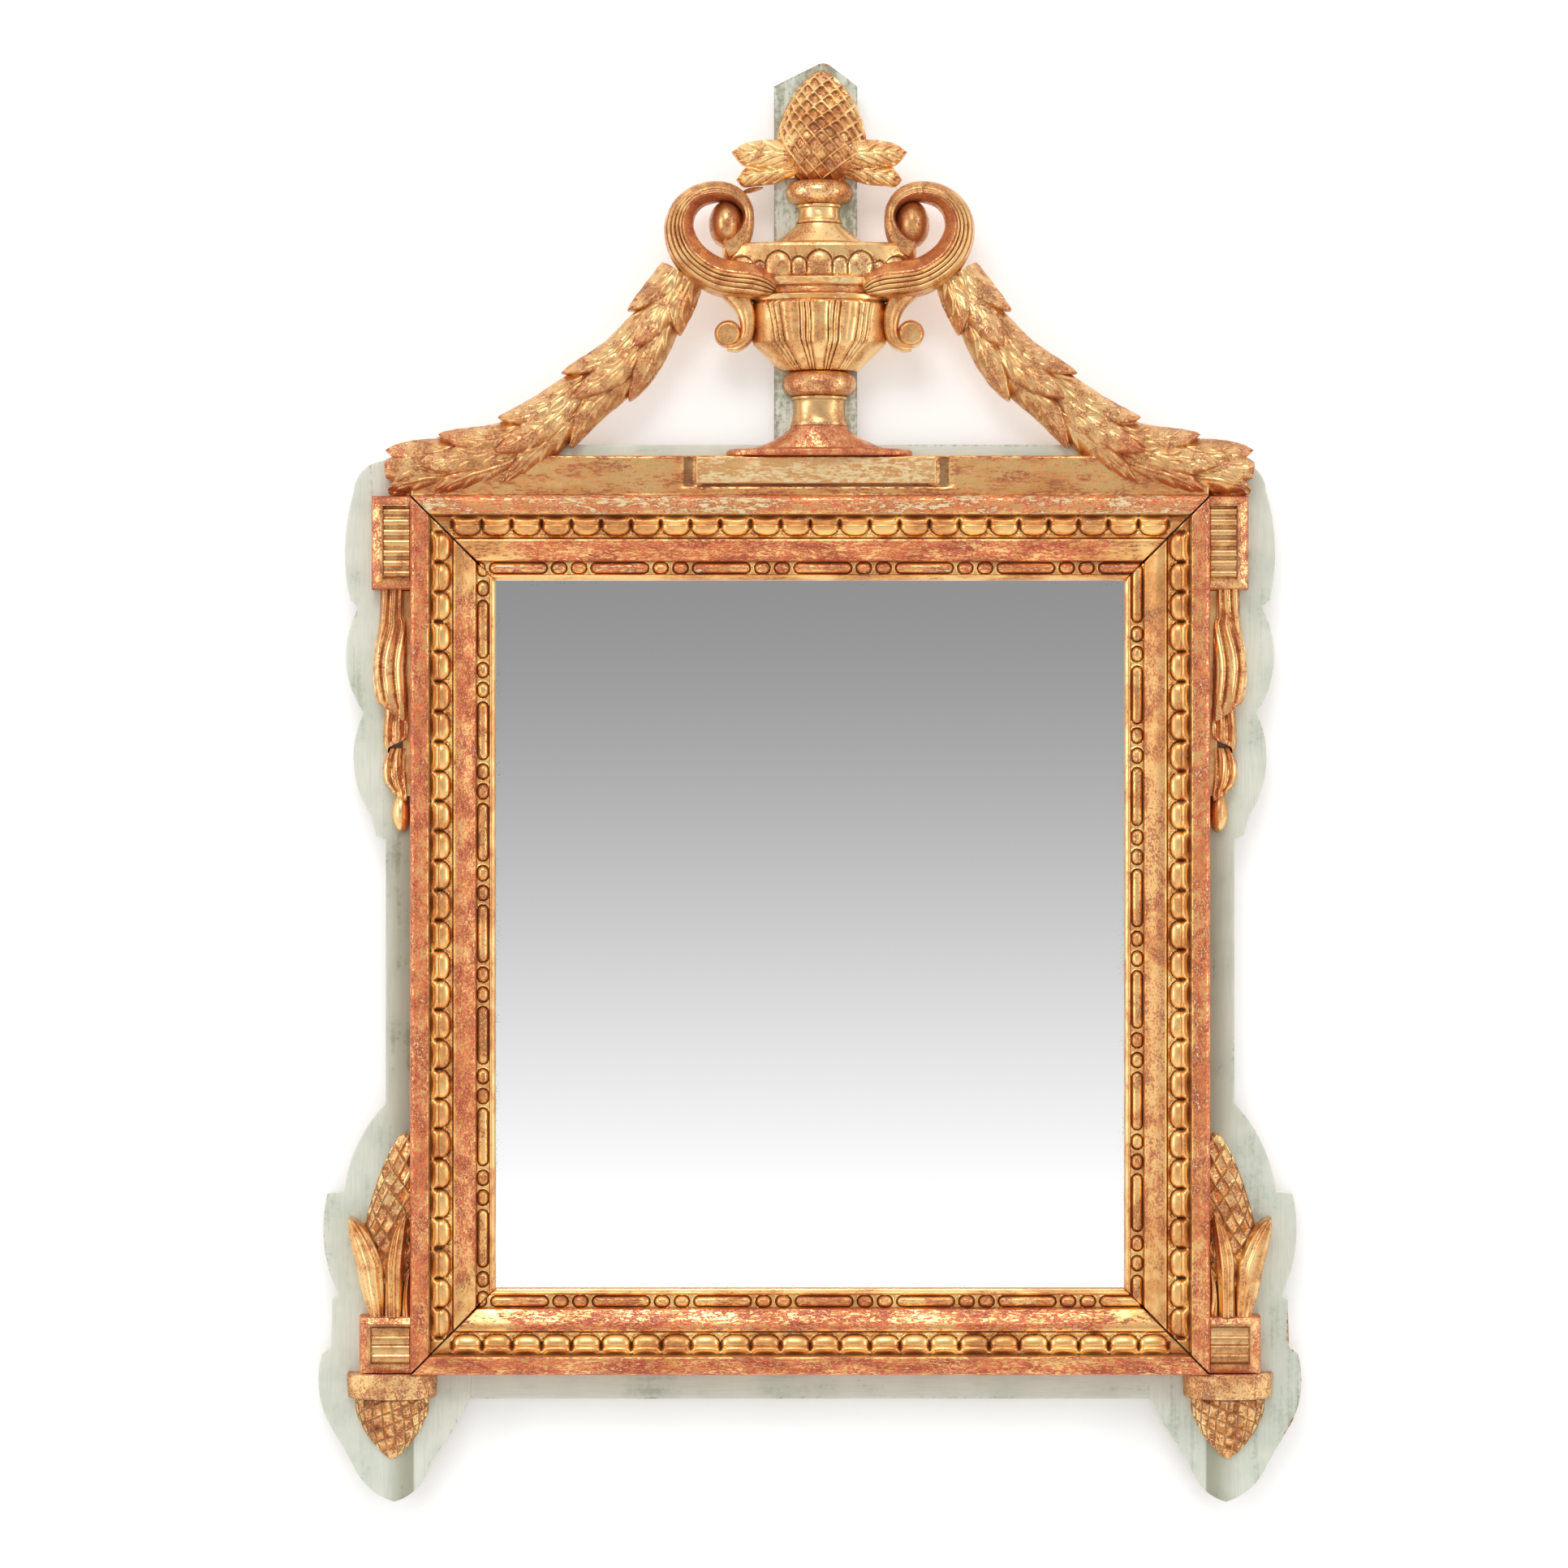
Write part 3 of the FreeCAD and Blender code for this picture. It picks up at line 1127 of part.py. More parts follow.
def main():
    os.makedirs("parts", exist_ok=True)
    for name, shape in assembly().items():
        solids = shape.Solids
        node = solids[0] if len(solids) == 1 else Part.makeCompound(solids)
        node.exportStep("parts/" + name + ".step")
        print(name, "solids", len(solids), "volume", round(node.Volume), "valid", node.isValid())


main()
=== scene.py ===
# %% [markdown]
# # A painted and gilded wall mirror
#
# The mirror is a provincial neoclassical piece: boards painted grey-green carry a carved and gilded
# frame, an urn with garlands stands on top, and pinecones end the two feet. This lesson loads the
# measured model, keeps its boards, glass and fittings in their places, and carves the gilt work
# again in fine detail. Every size is in millimetres here, and a mesh is brought to metres once,
# when it is finished, because small carvings are easier to think about in millimetres.

# %% Frame and measures
import math

import bmesh
import bpy
import numpy as np
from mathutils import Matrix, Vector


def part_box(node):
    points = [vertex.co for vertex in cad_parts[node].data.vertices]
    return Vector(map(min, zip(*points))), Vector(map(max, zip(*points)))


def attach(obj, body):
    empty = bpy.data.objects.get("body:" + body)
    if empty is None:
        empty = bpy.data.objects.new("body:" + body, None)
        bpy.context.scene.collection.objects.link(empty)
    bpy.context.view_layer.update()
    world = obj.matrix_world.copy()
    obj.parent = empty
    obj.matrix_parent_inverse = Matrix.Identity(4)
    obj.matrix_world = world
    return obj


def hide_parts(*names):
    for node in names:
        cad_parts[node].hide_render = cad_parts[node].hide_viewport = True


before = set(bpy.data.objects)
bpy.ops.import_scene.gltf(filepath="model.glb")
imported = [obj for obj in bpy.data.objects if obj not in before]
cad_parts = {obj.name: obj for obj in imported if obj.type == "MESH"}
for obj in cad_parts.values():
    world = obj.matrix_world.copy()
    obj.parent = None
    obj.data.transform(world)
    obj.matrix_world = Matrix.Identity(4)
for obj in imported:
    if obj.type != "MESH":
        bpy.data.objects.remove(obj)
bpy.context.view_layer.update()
MM = 0.001


class Span:
    """A node's box in millimetres, with depths counted forward from the wall."""

    def __init__(self, node):
        low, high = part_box(node)
        self.left, self.right = low[0] / MM, high[0] / MM
        self.back, self.front = -high[1] / MM, -low[1] / MM
        self.bottom, self.top = low[2] / MM, high[2] / MM
        self.middle = (self.left + self.right) / 2
        self.half = (self.right - self.left) / 2


FACE = Span("moulding_top").back
FRAME_SIDE = Span("moulding_right").right
FRAME_TOP = Span("moulding_top").top
URN = Span("urn_stem").middle
print("painted face at", round(FACE, 2), "frame half width", round(FRAME_SIDE, 2), "urn at", round(URN, 2))

# %% [markdown]
# ## Shader maths as sums
#
# A worn finish is mostly arithmetic: how deep a hollow is, plus a noise, minus a threshold. Writing
# that as node after node hides the idea, so one small class wraps a shader socket and gives it the
# usual operators. Any other node comes from one method, which sets the node up before it plugs in
# its values and links.

# %% Socket class and recipe
class Wire:
    """One shader socket that can stand in a sum."""

    def __init__(self, recipe, socket):
        self.recipe = recipe
        self.socket = socket

    def __add__(self, other):
        return self.recipe.maths("ADD", self, other)

    def __radd__(self, other):
        return self.recipe.maths("ADD", other, self)

    def __sub__(self, other):
        return self.recipe.maths("SUBTRACT", self, other)

    def __rsub__(self, other):
        return self.recipe.maths("SUBTRACT", other, self)

    def __mul__(self, other):
        return self.recipe.maths("MULTIPLY", self, other)

    def __rmul__(self, other):
        return self.recipe.maths("MULTIPLY", other, self)

    def step(self, low, high):
        """Soft step from 0 at low to 1 at high."""
        settings = {"interpolation_type": "SMOOTHSTEP"}
        return self.recipe.add("ShaderNodeMapRange", settings, {0: self, 1: low, 2: high, 3: 0.0, 4: 1.0})


class Recipe:
    """The nodes of a material, or of the world."""

    def __init__(self, owner):
        self.owner = owner
        owner.use_nodes = True
        self.tree = owner.node_tree
        self.tree.nodes.clear()

    def add(self, kind, settings, plugs, out=0):
        node = self.tree.nodes.new(kind)
        for key, value in settings.items():
            setattr(node, key, value)
        for key, value in plugs.items():
            if isinstance(value, Wire):
                self.tree.links.new(value.socket, node.inputs[key])
            else:
                node.inputs[key].default_value = value
        return Wire(self, node.outputs[out])

    def maths(self, operation, *values):
        return self.add("ShaderNodeMath", {"operation": operation}, dict(enumerate(values)))

    def axis(self, spot, index):
        """One coordinate of a place: 0 across, 1 deep, 2 up."""
        return self.add("ShaderNodeSeparateXYZ", {}, {"Vector": spot}, out=index)

    def place(self, stretch=(1.0, 1.0, 1.0)):
        """Object coordinates in metres, stretched where a grain runs."""
        spot = self.add("ShaderNodeTexCoord", {}, {}, out="Object")
        return self.add("ShaderNodeMapping", {}, {"Vector": spot, "Scale": stretch})

    def noise(self, spot, grain_mm, detail=3.0, roughness=0.55):
        """Noise whose blotches are about grain_mm across."""
        plugs = {"Vector": spot, "Scale": 1 / (grain_mm * MM), "Detail": detail, "Roughness": roughness}
        return self.add("ShaderNodeTexNoise", {}, plugs)

    def mark(self, name):
        """A number that a piece's mesh carries at each point."""
        return self.add("ShaderNodeAttribute", {"attribute_name": name}, {}, out="Fac")

    def blend(self, factor, first, second):
        """Colour between two colours."""
        return self.add("ShaderNodeMix", {"data_type": "RGBA"}, {0: factor, 6: first, 7: second}, out=2)

    def bump(self, height, strength, depth_mm):
        plugs = {"Height": height, "Strength": strength, "Distance": depth_mm * MM}
        return self.add("ShaderNodeBump", {}, plugs)

    def end(self, surface, kind="ShaderNodeOutputMaterial"):
        """Plugs the surface into the output, and gives what the nodes belong to."""
        self.tree.links.new(surface.socket, self.tree.nodes.new(kind).inputs["Surface"])
        return self.owner

    def finish(self, plugs):
        return self.end(self.add("ShaderNodeBsdfPrincipled", {}, plugs))


def material(name):
    """Empty recipe of a new material."""
    return Recipe(bpy.data.materials.new(name))


def tone(red, green, blue):
    """Screen colour from 0 to 255, as the shader wants it."""
    shares = [value / 255 for value in (red, green, blue)]
    linear = [share / 12.92 if share < 0.04045 else ((share + 0.055) / 1.055) ** 2.4 for share in shares]
    return (*linear, 1.0)


# %% [markdown]
# ## Worn water gilding
#
# Gold leaf was laid on red clay, called bole, over white gesso, and then burnished. Two hundred
# years of dusting rub the flat and high places down to the clay, and the hollows keep dirt and old
# glaze. The hollows are also painted darker to stand in for the shade that falls in them. Three
# numbers on each mesh steer this: *proud* says how far a point stands out of its surroundings,
# *rubbed* how much a surface has been handled, and *bared* where the gesso shows.

# %% Gilding
def gilding(name, stretch, bright=(248, 200, 132), deep=(226, 162, 98), aged=0.0):
    """Worn gilding whose wear is drawn out where the stretch is under 1, browner as it is aged."""
    recipe = material(name)
    spot = recipe.place()
    along = recipe.place(stretch)
    speck = recipe.noise(along, 1.35, 4.0, 0.7)
    blotch = recipe.noise(along, 9.0, 4.0, 0.62)
    drift = recipe.noise(spot, 42.0, 2.0)
    vein = recipe.maths("ABSOLUTE", recipe.noise(along, 3.2, 3.0, 0.6) - 0.5).step(0.030, 0.006)
    proud, rubbed, bared = (recipe.mark(mark) for mark in ("proud", "rubbed", "bared"))

    worn = rubbed + (speck - 0.5) * (rubbed * 6.4 + 1.4) + (blotch - 0.5) * 1.8 + proud * 0.10 - 0.56
    bole = worn.step(-0.12, 0.12) * (1 - vein * 0.6)
    gesso = (bared + (speck - 0.5) * 2.2 + (blotch - 0.5) * 1.8 - 0.60).step(-0.08, 0.10)
    # Painted shade: hollows, where proud is below zero, turn dark brown for dirt and old glaze and also for
    # the shade that falls in them.
    dirt_and_shade = (proud * -1.0 + (speck - 0.5) * 0.6).step(0.15, 1.0)
    glaze = (drift + (blotch - 0.5) * 1.1).step(0.36, 0.62)
    smudge = ((drift - 0.5) * 1.2 + (speck - 0.5) * 1.4 + (blotch - 0.5) * 1.0).step(0.06, 0.32)

    leaf = recipe.blend(glaze, tone(*bright), tone(*deep))
    leaf = recipe.blend(smudge * 0.5 + aged, leaf, tone(164, 112, 72))
    clay = recipe.blend(blotch.step(0.38, 0.62), tone(206, 88, 50), tone(160, 54, 32))
    clay = recipe.blend(speck.step(0.50, 0.70), clay, tone(230, 148, 92))
    brown = recipe.blend(blotch.step(0.40, 0.60), tone(196, 124, 74), tone(152, 86, 50))
    clay = recipe.blend(rubbed.step(0.40, 0.60), brown, clay)
    bare = recipe.blend(speck.step(0.42, 0.62), tone(204, 176, 126), tone(222, 198, 150))
    colour = recipe.blend(bole, leaf, clay)
    colour = recipe.blend(gesso, colour, bare)
    # Dark brown of the hollows: dirt and painted shade.
    colour = recipe.blend(dirt_and_shade * 0.75, colour, tone(104, 68, 38))

    metal = (1 - bole * 0.85) * (1 - gesso * 0.95) * (1 - dirt_and_shade * 0.5)
    rough = 0.29 + glaze * 0.08 + bole * 0.14 + gesso * 0.25 + dirt_and_shade * 0.25 + (speck - 0.5) * 0.16
    dents = recipe.noise(spot, 7.0, 3.0, 0.5)
    height = dents + speck * 0.14 - bole * 0.1
    return recipe.finish({"Base Color": colour, "Metallic": metal, "Roughness": rough, "Coat Weight": 0.16,
                          "Coat Roughness": 0.24, "Normal": recipe.bump(height, 0.4, 0.4)})

# %% [markdown]
# ## Old oil paint on boards
#
# The ground is a pale grey-green, brushed along each board. Paint like this yellows in patches,
# gathers grime in streaks, and chips to bare wood along the arrises. Along the sides of the gilt
# frame it is mixed darker, which stands for grime and for the frame's shadow painted in as colour.
# The grain of the brush needs the board's own direction, so the finish is mixed upright and level,
# and once more, worn, for the post of the crest. The mesh carries an *arris* number: 0.8 at the
# front arrises, 0.3 on the sides towards the wall, and 0 inside the front.

# %% Paint
def paint(name, stretch, wear=0.0, shade_and_soil=0.55):
    recipe = material(name)
    spot = recipe.place()
    along = recipe.place(stretch)
    brush = recipe.noise(along, 1.1, 4.0, 0.6)
    streak = recipe.noise(along, 6.0, 3.0, 0.6)
    patch = recipe.noise(spot, 38.0, 3.0)
    speck = recipe.noise(spot, 3.4, 4.0, 0.6)
    arris = recipe.mark("arris")
    chip = (arris * 0.50 + wear + (speck - 0.5) * 1.3 + (patch - 0.5) * 2.0 - 0.72).step(-0.02, 0.05)
    scuff = (arris * 0.34 + wear * 2.0 + (speck - 0.5) * 1.2 + (streak - 0.5) * 1.6 - 0.46).step(-0.1, 0.3)
    grime = ((streak - 0.5) * 1.6 + (patch - 0.5) * 1.4 + (speck - 0.5) * 0.8 + wear * 1.6).step(0.10, 0.55)
    colour = recipe.blend(patch.step(0.35, 0.65), tone(216, 218, 205), tone(200, 206, 192))
    colour = recipe.blend(brush.step(0.42, 0.72) * 0.35, colour, tone(184, 190, 174))
    colour = recipe.blend(grime * 0.5, colour, tone(142, 148, 124))
    colour = recipe.blend(scuff * 0.6, colour, tone(122, 108, 78))
    wood = recipe.blend(brush.step(0.4, 0.6), tone(206, 158, 112), tone(138, 94, 58))
    # Painted shadow and grime: from the frame's sides out to 24 mm the board is mixed towards a dark
    # grey-green, darkest next to the frame.
    gap = recipe.maths("ABSOLUTE", recipe.axis(spot, 0)) - FRAME_SIDE * MM
    shade_and_grime_beside = gap.step(24 * MM, 2 * MM) * gap.step(-2 * MM, 0.0)
    colour = recipe.blend(shade_and_grime_beside * (shade_and_soil + grime * 0.4), colour, tone(130, 128, 102))
    colour = recipe.blend(chip, colour, wood)
    rough = 0.52 + (brush - 0.5) * 0.2 + chip * 0.2
    height = brush * 0.8 + speck * 0.3 - chip * 1.4
    return recipe.finish({"Base Color": colour, "Roughness": rough, "Normal": recipe.bump(height, 0.4, 0.25)})

# %% [markdown]
# ## Bare pine, iron and steel
#
# Nobody paints the back. Its pine has browned, with darker late wood in long lines and the ripple
# of a scrub plane. The nails are black iron with a bloom of rust, and the bought rings and screws
# are dull plated steel, the screws darker than the straps.

# %% Wood and metal behind
def pine(name, stretch):
    recipe = material(name)
    spot = recipe.place()
    along = recipe.place(stretch)
    rings = recipe.noise(along, 9.0, 3.0, 0.5)
    fibre = recipe.noise(along, 0.9, 4.0, 0.65)
    stain = recipe.noise(spot, 60.0, 3.0)
    late = recipe.maths("FRACT", rings * 9.0).step(0.35, 0.95)
    colour = recipe.blend(late, tone(176, 132, 88), tone(122, 80, 46))
    colour = recipe.blend(fibre.step(0.45, 0.7) * 0.4, colour, tone(96, 64, 38))
    colour = recipe.blend(stain.step(0.45, 0.7) * 0.5, colour, tone(92, 68, 46))
    ripple = recipe.noise(recipe.place((0.3, 1.0, 1.0)), 14.0, 1.0)
    height = fibre * 0.6 + late * 0.5 + ripple * 1.5
    rough = 0.72 + (fibre - 0.5) * 0.2
    return recipe.finish({"Base Color": colour, "Roughness": rough, "Normal": recipe.bump(height, 0.5, 0.4)})


def iron():
    recipe = material("forged_iron")
    spot = recipe.place()
    rust = recipe.noise(spot, 1.2, 4.0, 0.7).step(0.45, 0.65)
    colour = recipe.blend(rust, tone(72, 64, 60), tone(112, 66, 40))
    pits = recipe.noise(spot, 0.5, 3.0)
    return recipe.finish({"Base Color": colour, "Metallic": 0.8 - rust * 0.7, "Roughness": 0.5 + rust * 0.35,
                          "Normal": recipe.bump(pits, 0.5, 0.15)})


def steel(name, plated, tarnished):
    recipe = material(name)
    spot = recipe.place()
    tarnish = recipe.noise(spot, 3.0, 4.0, 0.65)
    scratch = recipe.noise(recipe.place((1.0, 1.0, 0.08)), 0.35, 3.0, 0.6)
    colour = recipe.blend(tarnish.step(0.45, 0.7), tone(*plated), tone(*tarnished))
    rough = 0.30 + tarnish.step(0.45, 0.7) * 0.25 + (scratch - 0.5) * 0.15
    return recipe.finish({"Base Color": colour, "Metallic": 1.0, "Roughness": rough,
                          "Normal": recipe.bump(scratch, 0.3, 0.05)})


# %% [markdown]
# ## Silvered glass
#
# The plate is a plain mirror. Its silver is even in the middle, with a faint mottle and a little
# haze where damp has crept in from the edges. Distance from the edge comes straight from the
# object's own coordinates, since the glass never moves.

# %% Mirror
def mirror():
    recipe = material("silvered_glass")
    spot = recipe.place()
    haze = recipe.noise(spot, 30.0, 3.0)
    fleck = recipe.noise(spot, 1.6, 4.0, 0.7)
    glass = Span("mirror_plate")
    side_gap = glass.half * MM - recipe.maths("ABSOLUTE", recipe.axis(spot, 0))
    top_gap = glass.top * MM - recipe.maths("ABSOLUTE", recipe.axis(spot, 2))
    gap = recipe.maths("MINIMUM", side_gap, top_gap)
    edge = 1 - gap.step(8 * MM, 22 * MM)
    spoiled = (edge * 0.5 + (fleck - 0.5) * 1.2 + (haze - 0.5) * 0.6 - 0.55).step(0.0, 0.2)
    colour = recipe.blend(spoiled * 0.4, tone(252, 253, 252), tone(176, 170, 158))
    rough = 0.012 + haze * 0.01 + spoiled * 0.1
    return recipe.finish({"Base Color": colour, "Metallic": 1.0, "Roughness": rough})


CARVED_BRIGHT, CARVED_DEEP = (248, 206, 144), (228, 170, 110)
GILT = gilding("worn_water_gilding", (1.0, 1.0, 1.0), CARVED_BRIGHT, CARVED_DEEP)
GILT_AGED = gilding("aged_water_gilding", (1.0, 1.0, 1.0), CARVED_BRIGHT, CARVED_DEEP, 0.32)
GILT_LEVEL = gilding("water_gilding_worn_level", (0.3, 1.0, 1.0))
GILT_UPRIGHT = gilding("water_gilding_worn_upright", (1.0, 1.0, 0.7))
PAINT_UPRIGHT = paint("painted_board_upright", (1.0, 1.0, 0.05), 0.0, 0.75)
PAINT_LEVEL = paint("painted_board_level", (0.05, 1.0, 1.0), 0.0, 0.1)
PAINT_WORN = paint("painted_post_worn", (1.0, 1.0, 0.12), 0.22)
PINE = pine("aged_pine", (1.0, 1.0, 0.045))
PINE_LEVEL = pine("aged_pine_level", (0.045, 1.0, 1.0))
IRON = iron()
STEEL = steel("dull_plated_steel", (196, 192, 182), (142, 132, 114))
SCREW_STEEL = steel("dark_screw_steel", (122, 114, 100), (78, 68, 56))
MIRROR = mirror()
print("finishes", len(bpy.data.materials))

# %% [markdown]
# ## Carving a relief from a grid
#
# Every carving here is a relief: flat behind, and worked from the front. So each starts as the grid
# operator's sheet, whose points are carried to their places by a formula of two shares, u across
# and v up. The sheet's border is then extruded back to the painted face and the hole behind is
# filled, which gives a closed solid. Formulas on whole arrays keep fifty thousand points quick.

# %% Relief helpers
BACK_STEP, BACK_LEVELS = 0.02, 24
backs = []


def as_mesh(name, solid):
    """Mesh of a bmesh, which is freed."""
    mesh = bpy.data.meshes.new(name)
    solid.to_mesh(mesh)
    solid.free()
    return mesh


def rows_of(collection, name, count):
    """Three numbers a row from what a collection holds under a name."""
    values = np.empty(count * 3)
    collection.foreach_get(name, values)
    return values.reshape(-1, 3)


def mark(mesh, name, values):
    """Writes a number at each point of a mesh."""
    layer = mesh.attributes.new(name, "FLOAT", "POINT")
    layer.data.foreach_set("value", np.broadcast_to(values, len(mesh.vertices)).astype(np.float32))


def relief(columns, rows, shape, back=None):
    """Closed relief: shape(u, v) gives x, depth, z, rubbed and bared, in millimetres.

    Each back lies a hair off the one before, so that backs which overlap don't share a plane.
    """
    if back is None:
        back = FACE + BACK_STEP * (len(backs) % BACK_LEVELS)
    backs.append(back)
    sheet = bmesh.new()
    bmesh.ops.create_grid(sheet, x_segments=columns, y_segments=rows, size=0.5)
    mesh = as_mesh("relief", sheet)
    places = rows_of(mesh.vertices, "co", len(mesh.vertices))
    x, depth, z, rubbed, bared = shape(places[:, 0] + 0.5, places[:, 1] + 0.5)
    mesh.vertices.foreach_set("co", np.stack([x, -depth, z], axis=1).ravel())
    mark(mesh, "rubbed", rubbed)
    mark(mesh, "bared", bared)
    solid = bmesh.new()
    solid.from_mesh(mesh)
    bpy.data.meshes.remove(mesh)
    border = [edge for edge in solid.edges if edge.is_boundary]
    walls = bmesh.ops.extrude_edge_only(solid, edges=border)["geom"]
    for item in walls:
        if isinstance(item, bmesh.types.BMVert):
            item.co.y = -back
    bmesh.ops.remove_doubles(solid, verts=solid.verts, dist=0.001)
    rim = [edge for edge in solid.edges if edge.is_boundary]
    bmesh.ops.holes_fill(solid, edges=rim, sides=0)
    bmesh.ops.recalc_face_normals(solid, faces=solid.faces)
    return solid


def joined(solids):
    """One bmesh of several."""
    whole = bmesh.new()
    for solid in solids:
        mesh = as_mesh("part", solid)
        whole.from_mesh(mesh)
        bpy.data.meshes.remove(mesh)
    return whole


def mark_proud(mesh, passes, depth):
    """Writes how far each point stands out of its neighbourhood, as a share of depth in metres."""
    count = len(mesh.vertices)
    places = rows_of(mesh.vertices, "co", count)
    normals = rows_of(mesh.vertex_normals, "vector", count)
    ends = np.empty(len(mesh.edges) * 2, dtype=np.int64)
    mesh.edges.foreach_get("vertices", ends)
    first, second = ends.reshape(-1, 2).T
    degree = np.maximum(np.bincount(ends, minlength=count), 1)
    calm = places.copy()
    for _ in range(passes):
        sums = [np.bincount(first, calm[second, axis], count) + np.bincount(second, calm[first, axis], count)
                for axis in range(3)]
        calm = calm * 0.4 + np.stack(sums, axis=1) / degree[:, None] * 0.6
    proud = ((places - calm) * normals).sum(axis=1) / depth
    mark(mesh, "proud", np.clip(proud, -1.5, 1.5))


def hang(name, node, mesh, finish):
    """Puts a finished mesh on the fixed body, in place of its node."""
    mesh.materials.append(finish)
    piece = bpy.data.objects.new(name, mesh)
    bpy.context.scene.collection.objects.link(piece)
    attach(piece, "frame_body")
    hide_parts(node)
    print(name, "points", len(mesh.vertices), "faces", len(mesh.polygons))


def gilded(node, solids, sharp=50, passes=14, depth_mm=0.35, finish=GILT):
    """A gilded carving from its solids in millimetres, in place of its node."""
    whole = joined(solids)
    bmesh.ops.scale(whole, vec=(MM, MM, MM), verts=whole.verts)
    mesh = as_mesh(node, whole)
    mesh.shade_smooth()
    mesh.set_sharp_from_angle(angle=math.radians(sharp))
    mark_proud(mesh, passes, depth_mm * MM)
    hang(node, node, mesh, finish)


# %% [markdown]
# ## Small shapes that formulas share
#
# A carver thinks in a few forms: a round, a soft slope, a groove. Each is one line of array maths,
# so the formulas of the pieces below read like a description of the ornament.

# %% Forms
FAR = 99.0


def dome(reach):
    """Half round: 1 at the middle, 0 where reach is 1 and beyond."""
    return np.sqrt(np.clip(1 - reach, 0, 1))


def slope(value, low, high):
    """Soft step from 0 to 1."""
    share = np.clip((value - low) / (high - low), 0, 1)
    return share * share * (3 - 2 * share)


def groove(value, width):
    """Narrow cut, 1 in its middle."""
    return np.exp(-(value / width) ** 2)


def smooth_line(points, shares):
    """Values on a smooth curve through rows of numbers, at shares of its length from 0 to 1."""
    rows = np.array(points, dtype=float)
    rows = np.vstack([2 * rows[0] - rows[1], rows, 2 * rows[-1] - rows[-2]])
    place = np.clip(shares, 0, 1) * (len(points) - 1)
    index = np.minimum(place.astype(int), len(points) - 2)
    rest = (place - index)[:, None]
    before, here, after, beyond = (rows[index + step] for step in range(4))
    first = (after - before) * rest
    second = (2 * before - 5 * here + 4 * after - beyond) * rest ** 2
    third = (3 * here - before - 3 * after + beyond) * rest ** 3
    return 0.5 * (2 * here + first + second + third)


# %% [markdown]
# ## Carved mouldings
#
# Each rail of the frame runs the same section: a flat fillet outside, a row of round-ended leaves, a
# plain sloping band, a string of reels and beads, and a small lip at the glass. The ends are cut at
# 45 degrees, so the grid narrows from its outer to its inner edge, and the joint is left a hair
# open, as old mitres are. Across the rail the grid is close where the section turns sharply.

# %% Moulding section
FILLET, LEAVES, BAND, BEADS, LIP = 12.5, 15.5, 15.0, 9.0, 3.5
LEAF_FROM = FILLET
BAND_FROM = LEAF_FROM + LEAVES
BEAD_FROM = BAND_FROM + BAND
LIP_FROM = BEAD_FROM + BEADS
MOULDING = LIP_FROM + LIP
LEAF_PITCH = 19.8
LEAF_BED = 11.0
BEAD_BED = 6.2
BEAD_PERIOD = 67.5
MITRE_GAP = 0.88
ACROSS_STEPS = [(0.0, 3.2, 5), (3.2, FILLET - 0.9, 4), (FILLET - 0.9, FILLET + 0.5, 4),
                (FILLET + 0.5, BAND_FROM, 40), (BAND_FROM, BAND_FROM + 1.2, 3),
                (BAND_FROM + 1.2, BEAD_FROM - 0.8, 8), (BEAD_FROM - 0.8, LIP_FROM + 0.4, 28),
                (LIP_FROM + 0.4, MOULDING, 5)]


def across_places():
    places = [0.0]
    for start, end, count in ACROSS_STEPS:
        places += [start + (end - start) * (step + 1) / count for step in range(count)]
    return np.array(places)


def leaf_row_height(along, inward, units, wobble):
    """Lobes rounded at the band, each with a thin rim, a hollow shoulder, and a dart between two."""
    across = inward - LEAF_FROM
    cell = along / LEAF_PITCH + units / 2
    index = np.clip(np.floor(cell), 0, units - 1).astype(int)
    shift, size, tilt = wobble[index].T
    lengthwise = (cell - index - 0.5) * LEAF_PITCH
    between = LEAF_PITCH / 2 - np.abs(lengthwise)
    lengthwise = np.abs(lengthwise - shift * 0.25)
    share = lengthwise / 9.7
    far = np.clip(across - 6.4 - tilt * 0.1, 0, None)
    shoulder = 1 - slope(across, 3.5, 6.5)
    lobe = dome(share ** (2.8 + 4 * shoulder) + (far / 7.2) ** 2.2)
    sunk = 3.0 * (1 - slope(across, 0.2, 3.6)) + 0.9 * (1 - slope(across, 3.0, 5.6))
    hollow = (1 - share.clip(0, 1) ** 2) * sunk
    leaf_height = 3.2 + (4.6 + size * 0.2) * lobe - hollow * (lobe > 0) - 1.0 * groove(across - 5.8, 0.75)
    rim_reach = share ** 2.6 / 1.12 + (far / 8.3) ** 2.2
    rim = groove(np.sqrt(rim_reach) - 1, 0.05) * slope(across, 7.0, 9.0)
    dart = np.clip(1 - between / np.clip(0.40 * (across - 7.2), 0.2, None), 0, 1)
    dart = dart * (1 - slope(across, 13.6, 14.8))
    bed = 2.6 + 1.8 * slope(across, 10.5, 15.0) + 1.7 * rim + 1.9 * dart * slope(across, 8.4, 10.0)
    pit = 1.7 * groove(between, 1.3) * slope(across, 2.8, 4.6) * (1 - slope(across, 7.6, 9.6))
    knob = 6.2 * dome((between / 2.0) ** 2 + ((across - 1.8) / 2.0) ** 2)
    height = LEAF_BED + np.maximum(np.where(lobe > 0, leaf_height, bed) - pit, knob)
    outside = slope(np.abs(along), units * LEAF_PITCH / 2 - 1.0, units * LEAF_PITCH / 2 + 3.0)
    corner = LEAF_BED + 3.2 + 1.4 * np.sin(np.clip(across / LEAVES, 0, 1) * np.pi)
    return height * (1 - outside) + corner * outside


